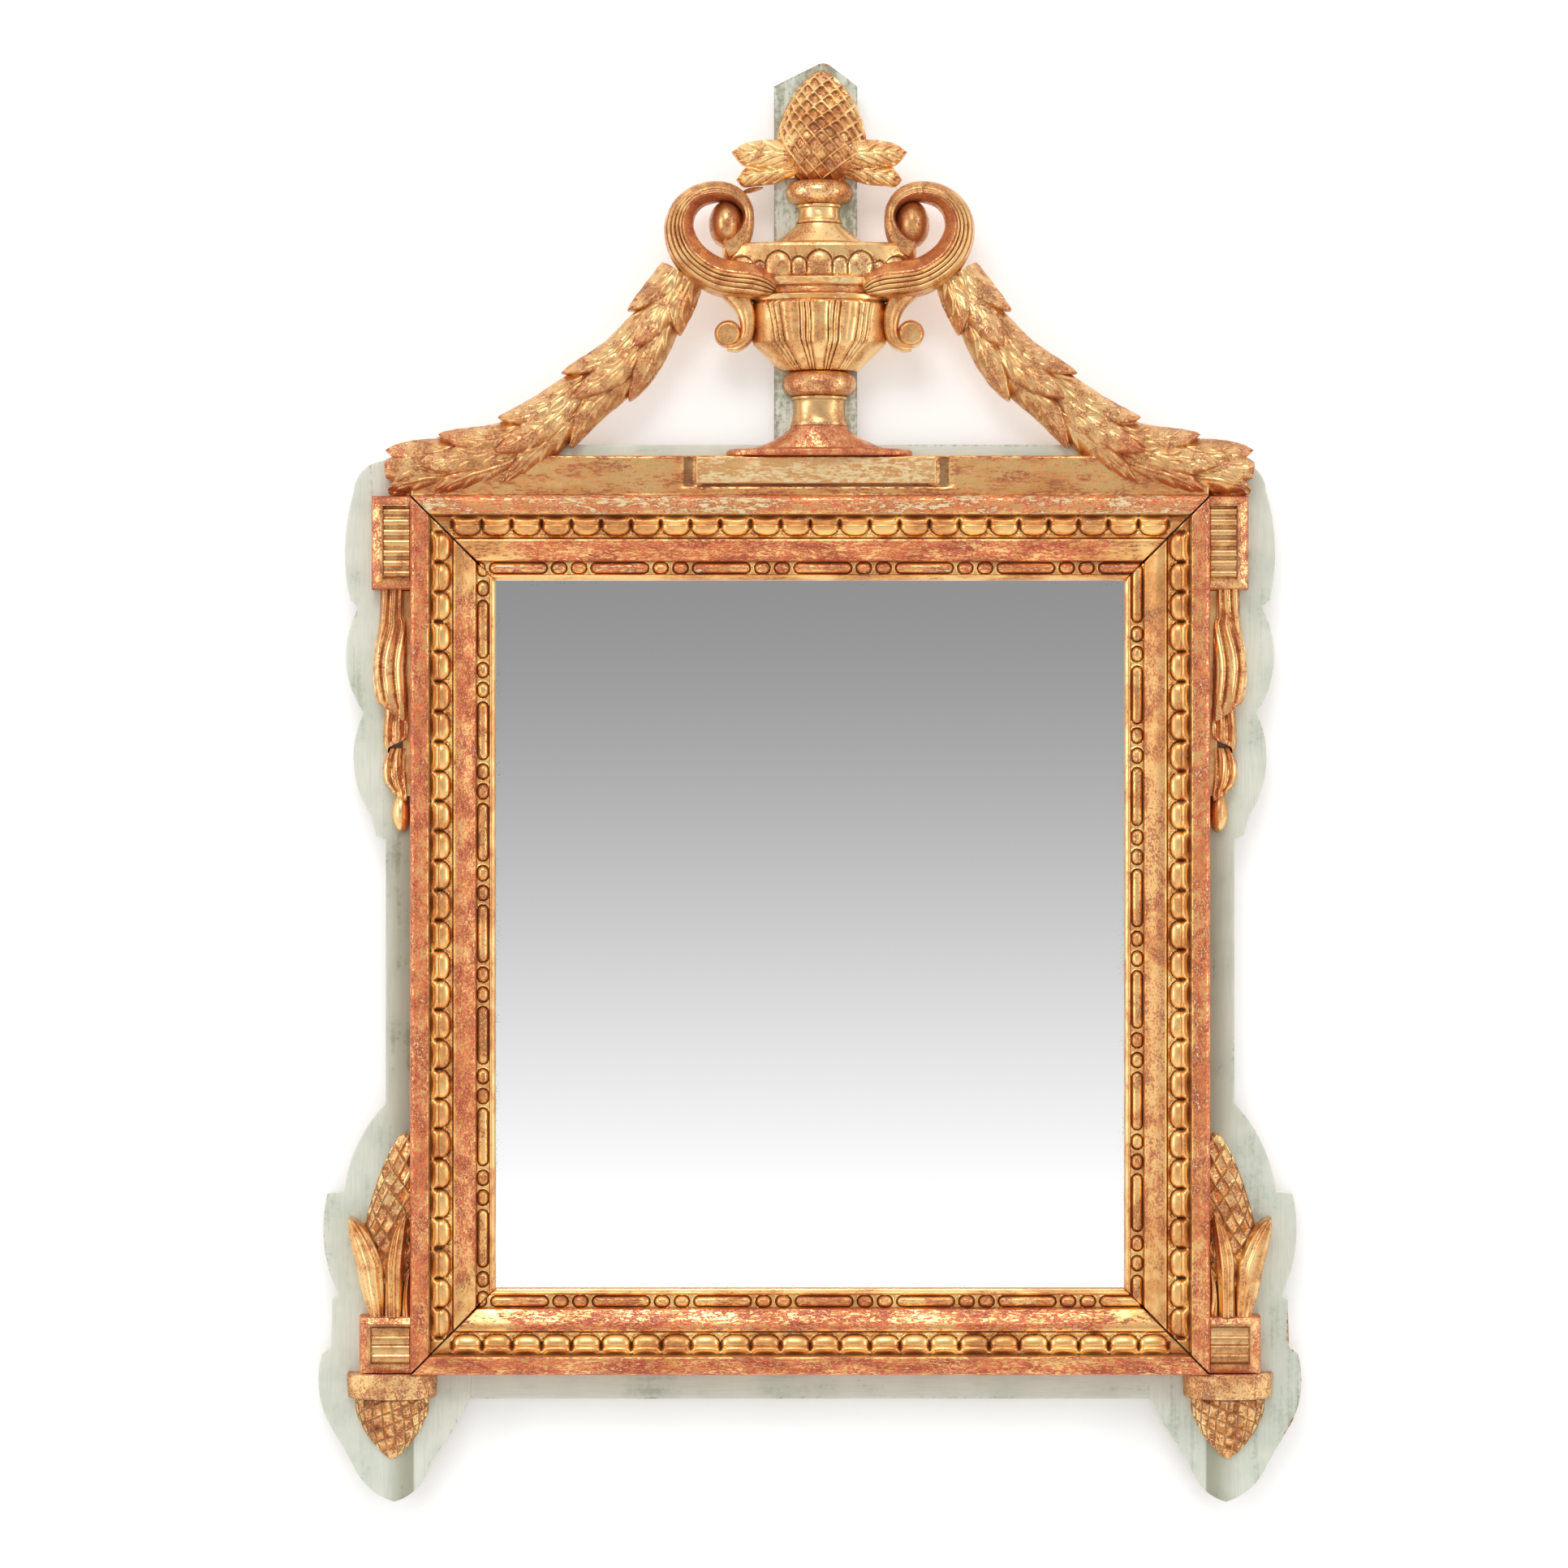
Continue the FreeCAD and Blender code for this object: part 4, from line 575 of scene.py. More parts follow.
def bead_row_height(along, inward, phase):
    """Long reels and pairs of beads, each in a tight groove; also how much of a bead this is."""
    across = inward - BEAD_FROM - BEADS / 2
    local = np.mod(along + phase, BEAD_PERIOD)
    gap = np.full(along.shape, FAR)
    domes = np.zeros(along.shape)
    for centre, half, radius in ((20.6, 19.0, 3.4), (47.7, 4.9, 3.7), (60.9, 4.9, 3.7)):
        beyond = np.clip(np.abs(local - centre) - (half - radius), 0, None)
        ray = np.sqrt(beyond ** 2 + across ** 2)
        gap = np.minimum(gap, ray - radius)
        ball = 1.05 * np.sqrt(np.clip(radius ** 2 - ray ** 2, 0, None))
        domes = np.maximum(domes, ball - 0.25 * groove(ray, 0.9))
    ground = BEAD_BED + 0.3 + 2.0 * slope(gap, 0.1, 0.7) + 0.5 * groove(gap - 0.9, 0.35)
    return np.where(gap < 0, BEAD_BED + 0.3 + domes, ground), (gap < 0.1).astype(float)


def moulding_height(along, inward, units, phase, wobble):
    places = [0, 0.8, 2.2, 4.0, FILLET - 0.8, FILLET, FILLET + 0.4, BAND_FROM - 0.2, BAND_FROM + 0.2,
              BAND_FROM + 1.4, BAND_FROM + 6.0, BEAD_FROM - 1.4, BEAD_FROM - 0.3, BEAD_FROM + 0.3,
              LIP_FROM, LIP_FROM + 0.5, LIP_FROM + 2.0, MOULDING - 0.5, MOULDING]
    heights = [20.6, 22.6, 23.7, 24.0, 24.0, 23.2, LEAF_BED, LEAF_BED + 1.5, 15.6, 16.6, 15.6, 12.1, 11.6,
               BEAD_BED + 1.5, BEAD_BED + 1.5, 8.7, 8.5, 6.4, 4.6]
    plain = np.interp(inward, places, heights)
    in_leaves = (inward > LEAF_FROM + 0.45) & (inward < BAND_FROM - 0.15)
    in_beads = (inward > BEAD_FROM + 0.25) & (inward < LIP_FROM - 0.05)
    bead_height, on_bead = bead_row_height(along, inward, phase)
    leaf_height = np.maximum(leaf_row_height(along, inward, units, wobble), LEAF_BED - 1)
    height = np.where(in_leaves, leaf_height, plain)
    height = np.where(in_beads, bead_height, height)
    return height, in_leaves, np.where(in_beads, on_bead, 0.0)


def moulding_wear(along, length, inward, in_leaves, on_bead, wear):
    """Fillets, bands and beads are rubbed to the clay, carved rows and corners keep their gold."""
    fillet_wear, band_wear, bead_wear, pale = wear
    to_mitre = length / 2 - inward - np.abs(along)
    rubbed = np.where(inward < FILLET, fillet_wear, np.where(inward < BEAD_FROM, band_wear, 0.12))
    in_band = (inward > BAND_FROM) & (inward < BEAD_FROM)
    rubbed = np.where(in_band, rubbed - 0.6 * (1 - slope(to_mitre, 5, 55)), rubbed)
    rubbed = np.where(in_leaves, 0.12, rubbed)
    rubbed = np.where(on_bead > 0, bead_wear, rubbed)
    rubbed = rubbed - 0.6 * groove(inward - BAND_FROM - 0.8, 1.3) - 0.5 * groove(inward - FILLET + 0.3, 0.8)
    bared = np.where(inward < FILLET, pale, np.where(on_bead > 0, pale * 0.5, 0.05))
    return rubbed, bared


# %% Rails
def rail(name, length, reach, turn, units, phase, wear, seed):
    wobble = np.random.default_rng(seed).normal(0, 1, (units, 3)).clip(-2, 2)
    places = across_places()
    ranks = np.linspace(0, 1, len(places))

    def shape(u, v):
        inward = np.interp(1 - v, ranks, places)
        open_joint = MITRE_GAP * (1 - 0.8 * slope(inward, BEAD_FROM + 1, BEAD_FROM + 4))
        along = (2 * u - 1) * (length / 2 - inward - open_joint)
        height, in_leaves, on_bead = moulding_height(along, inward, units, phase, wobble)
        height = height - 0.8 * groove(length / 2 - inward - np.abs(along), 0.8)
        rubbed, bared = moulding_wear(along, length, inward, in_leaves, on_bead, wear)
        outward = reach - inward
        turned_x = along * turn[0] - outward * turn[1]
        turned_z = along * turn[1] + outward * turn[0]
        return turned_x, FACE + height, turned_z, rubbed, bared

    columns = int(length * 1.3)
    finish = GILT_LEVEL if turn[0] else GILT_UPRIGHT
    solid = relief(columns, len(places) - 1, shape)
    gilded(name, [solid], sharp=60, passes=12, depth_mm=0.62, finish=finish)


# Length, reach, turn, leaves in the row, start of the beads, wear of fillet, band and beads with the
# share of bare gesso, and seed.
rail("moulding_top", 2 * FRAME_SIDE, FRAME_TOP, (1, 0), 24, 12.0, (0.82, 0.82, 0.60, 0.44), 1)
rail("moulding_bottom", 2 * FRAME_SIDE, FRAME_TOP, (-1, 0), 24, 30.0, (0.80, 0.84, 0.50, 0.08), 2)
rail("moulding_left", 2 * FRAME_TOP, FRAME_SIDE, (0, 1), 27, 20.0, (0.92, 0.78, 0.40, 0.12), 3)
rail("moulding_right", 2 * FRAME_TOP, FRAME_SIDE, (0, -1), 27, 45.0, (0.74, 0.50, 0.34, 0.20), 4)

# %% [markdown]
# ## Frieze and its tablet
#
# The flat board under the urn is worked hollow beside the raised tablet, whose face has lost most
# of its gold. Both are cushions: a flat field whose arris is rounded by a quarter circle.

# %% Plates
def spread(share, length, arris):
    """Places from 0 to length, close together within the arris at both ends."""
    edge = min(arris / length, 0.3)
    return length * np.interp(share, [0, 0.22, 0.78, 1], [0, edge, 1 - edge, 1])


def cushion(left, right, bottom, top, front, arris, wear, dip=None):
    """Shape of a plate with rounded arrises; dip(x, z) lowers its field."""
    def shape(u, v):
        x = left + spread(u, right - left, arris)
        z = bottom + spread(v, top - bottom, arris)
        edge = np.minimum.reduce([x - left, right - x, z - bottom, top - z])
        near = 1 - np.clip(edge / arris, 0, 1)
        depth = front - arris * (1 - np.sqrt(1 - near ** 2 * 0.999))
        if dip is not None:
            depth = depth - dip(x, z) * (1 - near)
        return x, depth, z, wear[0], wear[1]
    return shape


frieze = Span("frieze_board")
tablet = Span("frieze_tablet")


def frieze_dip(x, z):
    """Hollows beside the tablet and a soft roll below it."""
    shade_and_grime_beside = groove(np.abs(x - tablet.middle) - tablet.half - 5.5, 4.0) * 2.2
    unevenness = 0.35 * np.sin(x / 23.0) * np.sin(z / 9.0 + 1.0)
    to_side = tablet.half + 12 - np.abs(x - tablet.middle)
    seam = 1.1 * groove(z - frieze.bottom - 7.6, 0.9) * slope(to_side, 0, 20)
    return shade_and_grime_beside * slope(z, frieze.bottom + 5, frieze.bottom + 9) + unevenness + 0.35 + seam


frieze_shape = cushion(frieze.left, frieze.right, frieze.bottom, frieze.top, frieze.front, 1.6, (0.44, 0.06),
                       frieze_dip)
gilded("frieze_board", [relief(420, 40, frieze_shape)], finish=GILT_LEVEL)


def tablet_dip(x, z):
    """Its face is a little uneven."""
    return 0.25 + 0.2 * np.sin(x / 9.0) * np.sin(z / 5.0)


tablet_shape = cushion(tablet.left, tablet.right, tablet.bottom, tablet.top, tablet.front, 1.2, (0.60, 0.62),
                       tablet_dip)
gilded("frieze_tablet", [relief(240, 40, tablet_shape, back=tablet.back)], finish=GILT_LEVEL)

# %% [markdown]
# ## Reeded corner blocks
#
# Each block is a frame on three sides, bevelled and mitred, round a sunk panel of level reeds that
# runs in under the moulding. One height formula makes all four: the distance to the nearest framed
# edge gives the bevel, and the height on the panel gives the reed.

# %% Corner blocks
BLOCK_CLOSE = 8.0
PANEL_FROM, PANEL_BED = 8.2, 15.0
REEDS_FROM = 7.0
BLOCK_SECTION = ([0, 0.9, 5.4, 5.9, 6.8, 7.6, PANEL_FROM], [14.6, 16.6, 18.6, 18.9, 18.0, 18.2, 14.6])


def reeded(node, reeds, flat_share, deep):
    """Framed block. The reeds stand by a depth, with flats between that take a share of the pitch."""
    span = Span(node)
    inner = span.right if span.middle < 0 else span.left
    outer = span.left if span.middle < 0 else span.right
    width = span.right - span.left

    def shape(u, v):
        out = spread(u, width - 0.4, BLOCK_CLOSE)
        x = outer + np.sign(inner - outer) * out
        z = span.bottom + spread(v, span.top - span.bottom, BLOCK_CLOSE)
        edge = np.minimum.reduce([out, (z - span.bottom) * 1.15, (span.top - z) * 1.15])
        low, high = span.bottom + REEDS_FROM, span.top - REEDS_FROM
        phase = (z - low) / (high - low) * reeds
        reed = np.sqrt(np.clip(1 - (2 * (phase - np.floor(phase)) - 1) ** 2 / (1 - flat_share) ** 2, 0, 1))
        panel = PANEL_BED + deep * reed - 1.4 * (1 - slope(width - out, 0.0, 0.8))
        inside = edge > PANEL_FROM
        rubbed = np.where(inside, 0.14 + 0.3 * (reed < 0.1), 0.44 + 0.16 * (edge < 5.4))
        return x, FACE + np.where(inside, panel, np.interp(edge, *BLOCK_SECTION)), z, rubbed, 0.0

    rows = int((span.top - span.bottom) * 2.6)
    gilded(node, [relief(64, rows, shape)], sharp=35, depth_mm=0.9, finish=GILT_AGED)


for side in ("left", "right"):
    reeded("corner_block_top_" + side, 7, 0.30, 1.8)
    reeded("corner_block_bottom_" + side, 4, 0.0, 1.3)

# %% [markdown]
# ## Turned stages of the urn
#
# Foot, stem, bowl, rim, lid and neck look turned, but are half turnings glued to the post. Their
# sections are half ovals, wider than deep. A list of heights with half width and relief is the
# turner's drawing, and a carving formula can add flutes to it.

# %% Turned helpers
def evenly(rows):
    """Turns a turner's list into a function of a share of its length."""
    rows = np.array(rows, dtype=float)
    length = np.concatenate([[0], np.cumsum(np.hypot(np.diff(rows[:, 0]), np.diff(rows[:, 1])))])
    return lambda v: [np.interp(v * length[-1], length, rows[:, column]) for column in range(3)]


def above(base, rows):
    """A turner's list whose heights are counted from a base."""
    return [(base + height, half, relief_depth) for height, half, relief_depth in rows]


def rounded(rows):
    """The same drawing with its corners eased."""
    return [tuple(row) for row in smooth_line(rows, np.linspace(0, 1, 5 * len(rows)))]


def bulge(low, high, half, relief_depth, swell, steps=14):
    """Round roll between two heights."""
    angles = np.linspace(0, np.pi, steps)
    return [(low + (high - low) * (1 - math.cos(angle)) / 2, half + swell * math.sin(angle),
             relief_depth + swell * math.sin(angle)) for angle in angles]


def cove(low, high, half_low, half_high, relief_low, relief_high, power, steps=14):
    """Hollow flare that narrows from its low end to its high end."""
    rows = []
    for share in np.linspace(0, 1, steps):
        wide = (1 - share) ** power
        rows.append((low + (high - low) * share, half_high + (half_low - half_high) * wide,
                     relief_high + (relief_low - relief_high) * wide))
    return rows


def turned(centre, rows, carve=None, rubbed=0.2, bared=0.0):
    """Half turning on the painted face. carve(side, z, half) gives a height to add and more wear."""
    line = evenly(rows)

    def shape(u, v):
        z, half, relief_depth = line(v)
        angle = (u - 0.5) * np.pi
        side = np.sin(angle)
        extra, wear = (0.0, 0.0) if carve is None else carve(side, z, half)
        x = centre + (half + extra) * side
        return x, FACE + (relief_depth + extra) * np.cos(angle), z, rubbed + wear, bared
    return shape


# %% Foot and stem
foot = Span("urn_foot")
stem = Span("urn_stem")
slab_top = foot.bottom + 4.6
foot_rows = above(foot.bottom, [(0.0, 60.4, 23.0), (0.7, 61.8, 24.0)])
foot_rows += above(slab_top, [(-1.2, 61.8, 24.0), (0.0, 59.8, 22.6), (0.2, 46.0, 20.6)])
foot_rows += cove(slab_top + 0.6, foot.top, 44.6, 19.2, 20.0, 17.6, 1.6)


def uneven(side, z, half):
    """Soft dents of hand work."""
    return 0.25 * np.sin(side * 7 + z / 3.0) * np.cos(side * 1.5), 0.0


gilded("urn_foot", [relief(150, 70, turned(URN, foot_rows, uneven, 0.68))], finish=GILT_AGED)

torus_low = stem.top - 15.7
stem_rows = above(stem.bottom, [(0.3, 19.0, 17.4), (1.0, 19.3, 17.6), (2.6, 18.8, 17.4), (5.0, 17.9, 16.9),
                                (9.0, 17.3, 16.5)])
stem_rows += above(torus_low, [(-5.4, 17.2, 16.5), (-3.4, 17.8, 16.9), (-3.2, 19.0, 18.0), (-1.6, 19.3, 18.3),
                               (-1.0, 18.2, 17.5)])
stem_rows += bulge(torus_low - 0.8, stem.top - 0.3, 17.8, 17.0, 7.0)


def stem_wear(side, z, half):
    """The roll has lost its leaf, the column keeps it."""
    return 0.2 * np.sin(side * 6 + z / 2.4) * np.cos(side * 2), 0.24 * (z > torus_low - 0.6)


gilded("urn_stem", [relief(110, 90, turned(URN, stem_rows, stem_wear, 0.26))], finish=GILT_AGED)

# %% [markdown]
# ## Bowl, rim and lid
#
# The bowl has three broad ribs with pairs of thin ones between them, all drawn in towards its foot,
# and its flanks are left plain. The lid's slab is set with round-headed lobes, broad and narrow in
# turn. Both are heights over the turned oval, told by where a point lies across the urn.

# %% Bowl
bowl = Span("urn_bowl")
rim = Span("urn_rim")
lid = Span("urn_lid")
neck = Span("urn_neck")
BROAD_RIBS = (-0.46, 0.0, 0.47)
THIN_RIBS = (-0.73, -0.65, -0.27, -0.185, 0.185, 0.27, 0.66, 0.735)


def bowl_ribs(side, z, half):
    """Ribs that draw together towards the foot of the bowl, between plain flanks."""
    upward = (z - bowl.bottom) / (bowl.top - bowl.bottom)
    place = side / (0.80 + 0.20 * upward) + 0.006 * np.sin(z / 5.0 + side * 9)
    height = np.zeros(side.shape)
    for middle in BROAD_RIBS:
        across = (place - middle) / 0.145
        height = np.maximum(height, dome(across ** 2) * 2.7 - 0.4 * groove(across, 0.28))
    for middle in THIN_RIBS:
        height = np.maximum(height, dome(((place - middle) / 0.040) ** 2) * 1.8)
    flank = slope(np.abs(place), 0.77, 0.82)
    height = height * (1 - flank) + 1.6 * flank
    fade = slope(bowl.top - z, 0.0, 1.5)
    return height * fade, np.where((height < 0.5) & (flank < 0.5), 0.35, 0.0)


bowl_rows = above(bowl.bottom, [(0.0, 23.4, 16.8), (0.8, 25.0, 18.0), (5.0, 29.4, 21.2), (10.0, 34.4, 24.6),
                                (14.0, 38.6, 27.2), (16.6, 41.2, 28.6), (19.0, 42.9, 29.3),
                                (24.0, 43.2, 29.5), (34.0, 43.2, 29.5)])
bowl_rows.append((bowl.top, 43.8, 29.6))
bowl_shape = turned(URN, rounded(bowl_rows), bowl_ribs, 0.18)
gilded("urn_bowl", [relief(280, 100, bowl_shape)], sharp=60, depth_mm=0.5)

rim_rows = above(rim.bottom, [(0.0, 45.0, 27.2), (0.8, 46.6, 28.4), (3.8, 47.0, 28.8), (4.8, 45.6, 27.6),
                              (5.4, 43.4, 25.9), (9.4, 43.2, 25.7), (10.2, 45.8, 27.8), (11.0, 46.8, 28.6)])
rim_rows += above(rim.top, [(-0.8, 46.8, 28.6), (0.0, 45.4, 27.4)])


def rim_carve(side, z, half):
    """The hollow is unevenly cut, and worn to the clay in streaks."""
    in_hollow = (z > rim.bottom + 5) & (z < rim.top - 6)
    return 0.25 * np.sin(side * 13 + z / 2) * np.cos(z / 3), np.where(in_hollow, 0.28, 0.0)


def bared_lip(shape):
    """Both lips have lost much of their gold."""
    def paler(u, v):
        x, depth, z, rubbed, bared = shape(u, v)
        lower_lip = np.where(z < rim.bottom + 4.6, 0.46, 0.1)
        return x, depth, z, rubbed, np.where(z > rim.top - 5.6, 0.52, lower_lip)
    return paler


gilded("urn_rim", [relief(140, 50, bared_lip(turned(URN, rim_rows, rim_carve, 0.26)))], finish=GILT_LEVEL)

# %% Lid and neck
slab = lid.bottom + 23.0
# Middle, half width and height of each lobe.
LOBES = [(0.0, 8.6, 17.2), (-27.6, 8.4, 16.6), (27.6, 8.4, 16.6), (-13.8, 4.9, 13.0), (13.8, 4.9, 13.0),
         (-39.9, 3.4, 10.4), (39.9, 3.4, 10.4), (-51.6, 8.2, 13.8), (51.6, 8.2, 13.8)]


def lid_lobes(side, z, half):
    """Round-headed lobes sunk in outline into a plain band."""
    across = side * half
    above = z - lid.bottom
    outside = np.full(side.shape, FAR)
    crown = np.zeros(side.shape)
    for middle, wide, tall in LOBES:
        over = np.clip(above - (tall - wide), 0, None)
        ray = np.hypot(across - middle, over) / wide
        outside = np.minimum(outside, (ray - 1) * wide)
        channel = 0.35 * groove((across - middle) / wide, 0.22) * slope(0.7 - ray, 0, 0.4)
        crown = np.maximum(crown, dome(ray ** 2) * (1.6 + wide * 0.17) - channel)
    band = 2.3 * slope(outside, 0.05, 0.9)
    height = np.where(outside < 0, crown, band) - 0.6 * slope(2.0 - above, 0, 1.6)
    on_slab = slope(slab + 0.4 - z, 0.0, 0.8)
    return (height - 1.2) * on_slab, 0.16 * (outside < 0)


lid_rows = above(lid.bottom, [(0.0, 60.5, 23.6), (1.0, 61.6, 24.0), (8.0, 63.0, 24.6), (16.0, 63.6, 24.8),
                              (20.6, 63.8, 24.8)])
lid_rows += above(slab, [(-0.8, 62.6, 24.2), (0.0, 60.6, 23.2), (0.6, 31.6, 20.8)])
lid_rows += cove(slab + 0.8, lid.top - 0.4, 30.8, 15.6, 20.4, 14.8, 1.15)
gilded("urn_lid", [relief(320, 120, turned(URN, lid_rows, lid_lobes, 0.22))], sharp=60, depth_mm=0.5)

ring_low = neck.top - 15.1
neck_rows = above(neck.bottom, [(0.0, 14.6, 14.4), (0.6, 15.4, 15.2), (1.8, 15.2, 15.0), (3.0, 14.4, 14.2)])
neck_rows += above(ring_low, [(-5.0, 13.8, 13.8), (-3.0, 14.2, 14.2), (-2.8, 15.4, 15.4), (-1.2, 15.6, 15.6),
                              (-0.6, 14.8, 14.8)])
neck_rows += bulge(ring_low - 0.5, neck.top - 0.2, 14.8, 15.0, 7.9)


def neck_wear(side, z, half):
    return 0.2 * np.sin(side * 5 + z / 2.6) * np.cos(side * 2), 0.24 * (z > ring_low - 0.4)


gilded("urn_neck", [relief(110, 80, turned(URN, neck_rows, neck_wear, 0.20))])

# %% [markdown]
# ## Pinecones
#
# A carver cuts a cone's scales as a net of crossing lines over the round, and then hollows each
# diamond under its upper edge so that its lower corner stands up. Two sloping families of lines are
# one sum and one difference of the angle and the height, so a formula finds the cell and the place
# within it.

# %% Net of scales
def net_of_scales(sideways, upward, net):
    """Height of the carved net, 0 on its lines and about -1 in its cells, and where its lines are."""
    pitch, fall, rise_pitch, rise, fan, arch_from, arch_to = net
    wander = 0.5 * np.sin(upward / 6.0 + sideways / 9.0)
    first = (upward + fall * (sideways + wander)) / pitch
    second = (upward - (rise - fan * sideways) * (sideways - wander)) / rise_pitch
    in_first = first - np.floor(first)
    in_second = second - np.floor(second)
    to_first = np.minimum(in_first, 1 - in_first) * pitch / math.hypot(1, fall)
    to_second = np.minimum(in_second, 1 - in_second) * rise_pitch / math.hypot(1, rise)
    line = groove(np.minimum(to_first, to_second), 0.74)
    higher = in_first + in_second - 1
    across = in_first - in_second
    over = slope(higher + 0.7 * across ** 2, 0.52, 0.72)
    scale = -1.15 * slope(higher, -1.0, 0.35) * (1 - over) - 0.1
    cell = np.floor(first) * 1.7 + np.floor(second) * 2.9
    facet = -0.80 + 0.46 * np.sin(cell) * across + 0.40 * (0.4 + np.cos(cell * 1.3)) * higher
    arch = slope(upward, arch_from, arch_to)
    floor = facet * (1 - arch) + scale * arch
    return floor * (1 - line), line


def pinecone(foot_point, lean, length, half, relief_depth, shares, net, cut, clip_x=None, wear=0.3):
    """Half cone along an axis that leans from upright by an angle in degrees, cut by a net."""
    tilt = math.radians(lean)
    rows = np.array(shares, dtype=float)
    ranks = np.linspace(0, 1, len(rows))

    def shape(u, v):
        full = np.clip(smooth_line(rows[:, 1:], np.interp(v, rows[:, 0], ranks))[:, 0], 0.02, 1.02)
        angle = (u - 0.5) * np.pi
        upward = v * length
        height, line = net_of_scales(half * full * angle, upward, net)
        fade = np.clip(full * 2.2, 0, 1) * slope(np.pi / 2 - np.abs(angle), 0, 0.2)
        out = height * cut * fade
        sideways = (half * full + out) * np.sin(angle)
        x = foot_point[0] + sideways * math.cos(tilt) + upward * math.sin(tilt)
        z = foot_point[1] - sideways * math.sin(tilt) + upward * math.cos(tilt)
        if clip_x is not None:
            x = np.minimum(x, clip_x)
        depth = FACE + (relief_depth * full + out) * np.cos(angle)
        return x, depth, z, wear - line * 0.5, 0.0
    return shape


def on_side(side, shape, axis=0.0):
    """The left shape as it is, or turned over to the right of an axis."""
    if side == "left":
        return shape

    def turned_over(u, v):
        x, depth, z, rubbed, bared = shape(u, v)
        return 2 * axis - x, depth, z, rubbed, bared
    return turned_over

# %% Cones
cone = Span("urn_cone")
URN_CONE = [(0.0, 0.50), (0.06, 0.70), (0.15, 0.88), (0.27, 0.99), (0.38, 1.0), (0.50, 0.95), (0.62, 0.85),
            (0.73, 0.72), (0.83, 0.56), (0.91, 0.38), (0.97, 0.22), (1.0, 0.06)]
# Pitch and slope of the first lines, the same of the second and their fan, and where the cells turn
# from plain diamonds to round scales, which lies beyond the ends of the lower cones.
URN_NET = (10.5, 1.15, 10.5, 0.75, 0.005, 22.0, 40.0)
urn_cone = pinecone((cone.middle, cone.bottom), 0, cone.top - cone.bottom, 29.8, 24.0, URN_CONE, URN_NET, 2.4,
                    wear=0.50)
gilded("urn_cone", [relief(230, 200, urn_cone)], sharp=60, depth_mm=0.36)

SIDE_CONE = [(0.0, 0.55), (0.1, 0.84), (0.22, 1.0), (0.36, 1.02), (0.5, 0.95), (0.62, 0.84), (0.74, 0.70),
             (0.84, 0.54), (0.93, 0.36), (0.98, 0.2), (1.0, 0.05)]
FOOT_CONE = [(0.0, 1.0), (0.14, 1.0), (0.3, 0.94), (0.46, 0.82), (0.62, 0.66), (0.76, 0.48), (0.89, 0.28),
             (0.97, 0.12), (1.0, 0.03)]
SIDE_NET = (13.7, 1.0, 17.2, 2.19, 0.0, 500.0, 600.0)
FOOT_NET = (56.0, 8.0, 8.4, 0.36, 0.0, 500.0, 600.0)
foot_cone = Span("foot_cone_left")
for side in ("left", "right"):
    shape = pinecone((-FRAME_SIDE - 18.0, -FRAME_TOP + 48.0), 7.0, 112.0, 19.8, 17.2, SIDE_CONE, SIDE_NET,
                     2.7, clip_x=-FRAME_SIDE - 0.2, wear=0.46)
    gilded("side_cone_" + side, [relief(130, 260, on_side(side, shape))], sharp=60, depth_mm=0.3)
    shape = pinecone((foot_cone.middle, foot_cone.top), 0, foot_cone.bottom - foot_cone.top, 24.6, 17.4,
                     FOOT_CONE, FOOT_NET, 2.7, wear=0.50)
    gilded("foot_cone_" + side, [relief(170, 110, on_side(side, shape))], sharp=60, depth_mm=0.3)

# %% Foot bands
for side in ("left", "right"):
    band = Span("foot_band_" + side)
    band_rows = above(band.bottom, [(0.0, 28.2, 19.4), (0.8, 29.4, 20.4)])
    band_rows += above(band.top, [(-1.4, 30.2, 20.9), (0.0, 29.0, 19.9)])
    gilded("foot_band_" + side, [relief(110, 44, turned(band.middle, band_rows, uneven, 0.44, 0.12))])

# %% [markdown]
# ## Scroll handles
#
# A handle starts as a fluted leaf laid on the rim, sweeps out and up, and curls over an egg. It is a
# sheet carried along a smooth line: the section's outer part is grooved, a sharp ridge follows, and
# a plain facet falls to the inside. The grooves die away as the handle climbs. The small scrolls
# under it are the same sweep with a plain section.

# %% Sweeps
def line_at(rows, share, reach):
    """What a smooth line through the rows has at shares of it, and the unit way to its left side."""
    ahead = smooth_line(rows, share + reach) - smooth_line(rows, share - reach)
    run = np.hypot(ahead[:, 0], ahead[:, 1])
    return smooth_line(rows, share), -ahead[:, 1] / run, ahead[:, 0] / run


def swept(stations, section, rubbed=0.2):
    """Sweep along stations of x, z, half width and relief. section(across, share) shares the relief."""
    def shape(u, v):
        here, way_x, way_z = line_at(stations, v, 0.004)
        across = 2 * u - 1
        x = here[:, 0] + way_x * across * here[:, 2]
        z = here[:, 1] + way_z * across * here[:, 2]
        height, wear = section(across, v)
        return x, FACE + here[:, 3] * height, z, rubbed + wear, 0.0
    return shape


THIN = 0.05


def half_egg(x, z, half, tall, relief_depth, rubbed=0.2):
    """Egg on the painted face, from its foot to its crown."""
    angles = np.linspace(-np.pi / 2, np.pi / 2, 25)
    rows = [(z + tall * math.sin(angle), half * math.cos(angle) + THIN,
             relief_depth * math.cos(angle) ** 0.8 + THIN) for angle in angles]
    return turned(x, rows, None, rubbed)


